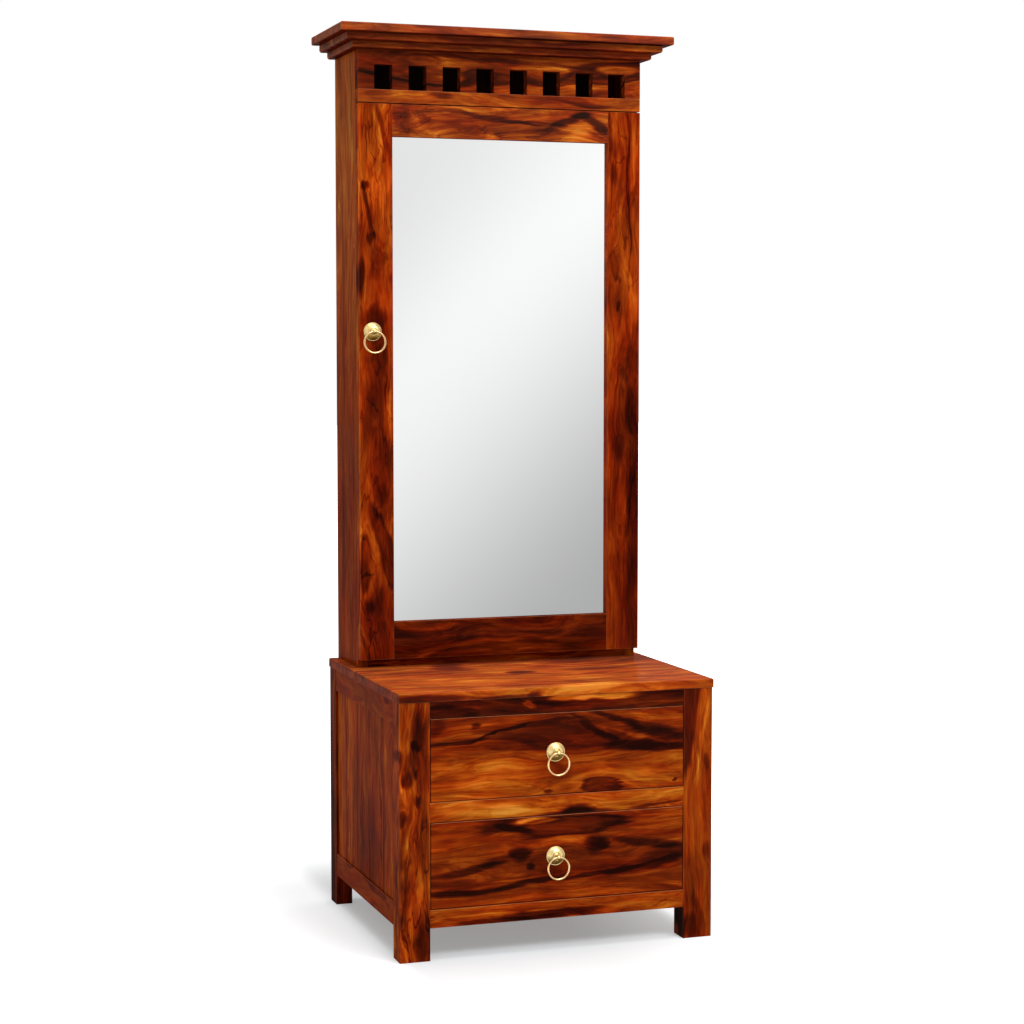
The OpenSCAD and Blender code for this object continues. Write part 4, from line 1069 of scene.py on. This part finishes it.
FLOOR_HALF = 30.0
FOOT_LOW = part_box("front_left_post")[0]
FOOT_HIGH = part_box("back_right_post")[1]
FOOT_HALF_X = (FOOT_HIGH.x - FOOT_LOW.x) / 2
FOOT_HALF_Y = (FOOT_HIGH.y - FOOT_LOW.y) / 2
FOOT_MIDDLE_Y = (FOOT_HIGH.y + FOOT_LOW.y) / 2
# Cooler floor colour near the feet: painted colour that cancels the warm light the wood bounces into the
# shadow
BOUNCE_TINT = (0.65, 0.70, 0.73, 1.0)
FLOOR_COLOUR = (0.68, 0.69, 0.695, 1.0)
WHITE = (1.0, 1.0, 1.0, 1.0)
SOFT_LIGHT = 0.45

# How far the floor glows by itself where it is seen: under the chest, far from it, left and right of it
GLOW = 0.28
FAR_GLOW = 0.6
LEFT_GLOW = 0.24
RIGHT_GLOW = 0.16

# A white band crosses the card along a slope and fades to a grey on its near and its far side. The
# card's middle and the band's sides are in metres, and drift is how the card changes along the band
CARD_X = 2.0
CARD_Y = -4.65
CARD_Z = 2.0
CARD_LEFT = -4.0
CARD_RIGHT = 6.0
CARD_TOP = 5.0
BAND_TURN = math.radians(48)
BAND_NEAR_SIDE = (-0.5, 0.2)
BAND_NEAR_GREY = 0.85
BAND_FAR_SIDE = (0.05, 1.5)
BAND_FAR_GREY = 0.40
DRIFT = 0.055
DRIFT_SLOPE = 0.083
DRIFT_REACH = 1.4
DRIFT_REACH_NEAR = 1.2


def soft_box(name, at, target, size, power):
    data = bpy.data.lights.new(name, "AREA")
    data.shape = "RECTANGLE"
    data.size, data.size_y = size
    data.energy = power
    aim(new_object(name, data), at, Vector(target) - Vector(at))


def shown(graph):
    """1 for what is seen, directly or in metal, lacquer or glass, and 0 for light that falls on things."""
    ray = graph.node("ShaderNodeLightPath").outputs
    share = graph.math("MAXIMUM", ray["Is Camera Ray"], ray["Is Glossy Ray"])
    return graph.math("MAXIMUM", share, ray["Is Transmission Ray"])


def make_world():
    """White where it is seen, in metal and in glass, and a plain soft light elsewhere."""
    world = bpy.data.worlds.new("studio")
    bpy.context.scene.world = world
    graph = empty_graph(world)
    seen = graph.node("ShaderNodeBackground", {"Color": WHITE, "Strength": 1.0})
    soft = graph.node("ShaderNodeBackground", {"Color": WHITE, "Strength": SOFT_LIGHT})
    both = graph.node("ShaderNodeMixShader", {"Fac": shown(graph)})
    graph.put(both.inputs[1], soft.outputs[0])
    graph.put(both.inputs[2], seen.outputs[0])
    graph.node("ShaderNodeOutputWorld", {"Surface": both.outputs[0]})


def stage_plane(name, corners, material):
    mesh = bpy.data.meshes.new(name)
    mesh.from_pydata(corners, [], [(0, 1, 2, 3)])
    mesh.materials.append(material)
    plane = new_object(name, mesh)
    return plane


def make_floor():
    """A pale floor that keeps the shadow round the feet and rises to the white of the backdrop."""
    material, graph, shader = new_material("pale floor")
    place = graph.split(graph.here())
    off_x = graph.minus(graph.math("ABSOLUTE", place["X"]), FOOT_HALF_X)
    off_y = graph.minus(graph.math("ABSOLUTE", graph.minus(place["Y"], FOOT_MIDDLE_Y)), FOOT_HALF_Y)
    beside = graph.math("MAXIMUM", off_x, 0.0)
    ahead = graph.math("MAXIMUM", off_y, 0.0)
    left = graph.remap(place["X"], -FOOT_HALF_X + 0.03, -FOOT_HALF_X - 0.03, 0.0, LEFT_GLOW)
    left = graph.times(left, graph.remap(beside, 0.6, 0.1))
    right = graph.remap(place["X"], 0.05, FOOT_HALF_X + 0.02, 0.0, RIGHT_GLOW)
    right = graph.times(right, graph.remap(beside, 0.25, 0.02))
    far = graph.total(graph.remap(beside, 0.05, 0.5, 0.0, FAR_GLOW),
                      graph.remap(ahead, 0.1, 0.6, 0.0, FAR_GLOW))
    lift = graph.total(far, left, right, GLOW)
    off_foot = graph.math("MAXIMUM", off_x, off_y)
    tint = graph.mix(graph.remap(off_foot, -0.15, 0.1), BOUNCE_TINT, FLOOR_COLOUR)
    graph.fill(shader, {"Base Color": tint, "Roughness": 0.9, "Specular IOR Level": 0.0,
                        "Emission Color": WHITE, "Emission Strength": graph.times(shown(graph), lift)})
    half = FLOOR_HALF
    stage_plane("floor", [(-half, -half, 0), (half, -half, 0), (half, half, 0), (-half, half, 0)], material)


def make_card():
    """A card with a bright band behind the camera. Only mirror, metal and lacquer show it."""
    material = bpy.data.materials.new("graded card")
    graph = empty_graph(material)
    place = graph.split(graph.here())
    east = graph.minus(place["X"], CARD_X)
    height = graph.minus(place["Z"], CARD_Z)
    slope = graph.minus(graph.times(east, math.cos(BAND_TURN)),
                        graph.times(height, math.sin(BAND_TURN)))
    along = graph.total(graph.times(east, math.sin(BAND_TURN)),
                        graph.times(height, math.cos(BAND_TURN)))
    band = graph.times(graph.remap(slope, *BAND_NEAR_SIDE, BAND_NEAR_GREY, 1.0),
                       graph.remap(slope, *BAND_FAR_SIDE, 1.0, BAND_FAR_GREY))
    inner_slope = graph.math("MAXIMUM", graph.math("MINIMUM", slope, DRIFT_REACH), -DRIFT_REACH_NEAR)
    inner_along = graph.math("MAXIMUM", graph.math("MINIMUM", along, DRIFT_REACH), -DRIFT_REACH)
    drift = graph.minus(DRIFT, graph.times(inner_slope, DRIFT_SLOPE))
    strength = graph.times(band, graph.total(graph.times(inner_along, drift), 1.0))
    glow = graph.node("ShaderNodeEmission", {"Color": WHITE, "Strength": strength})
    graph.node("ShaderNodeOutputMaterial", {"Surface": glow.outputs[0]})
    corners = [(CARD_LEFT, CARD_Y, 0), (CARD_RIGHT, CARD_Y, 0), (CARD_RIGHT, CARD_Y, CARD_TOP),
               (CARD_LEFT, CARD_Y, CARD_TOP)]
    card = stage_plane("graded card", corners, material)
    card.visible_camera = False
    card.visible_diffuse = False
    card.visible_shadow = False


def make_studio():
    make_world()
    make_floor()
    make_card()
    soft_box("key light", at=(1.3, -3.3, 3.7), target=(0, -0.1, 0.9), size=(2.4, 1.6), power=110)
    soft_box("top light", at=(0.2, -0.3, 4.4), target=(0.1, 0, 0), size=(3.0, 3.0), power=90)
    bpy.context.scene.view_settings.view_transform = "Standard"


make_camera()
steel = steel_material()
dress_boards()
dress_the_rest(steel)
hinge_screws(steel)
catch_fittings(steel)
pull_nuts(steel)
make_studio()
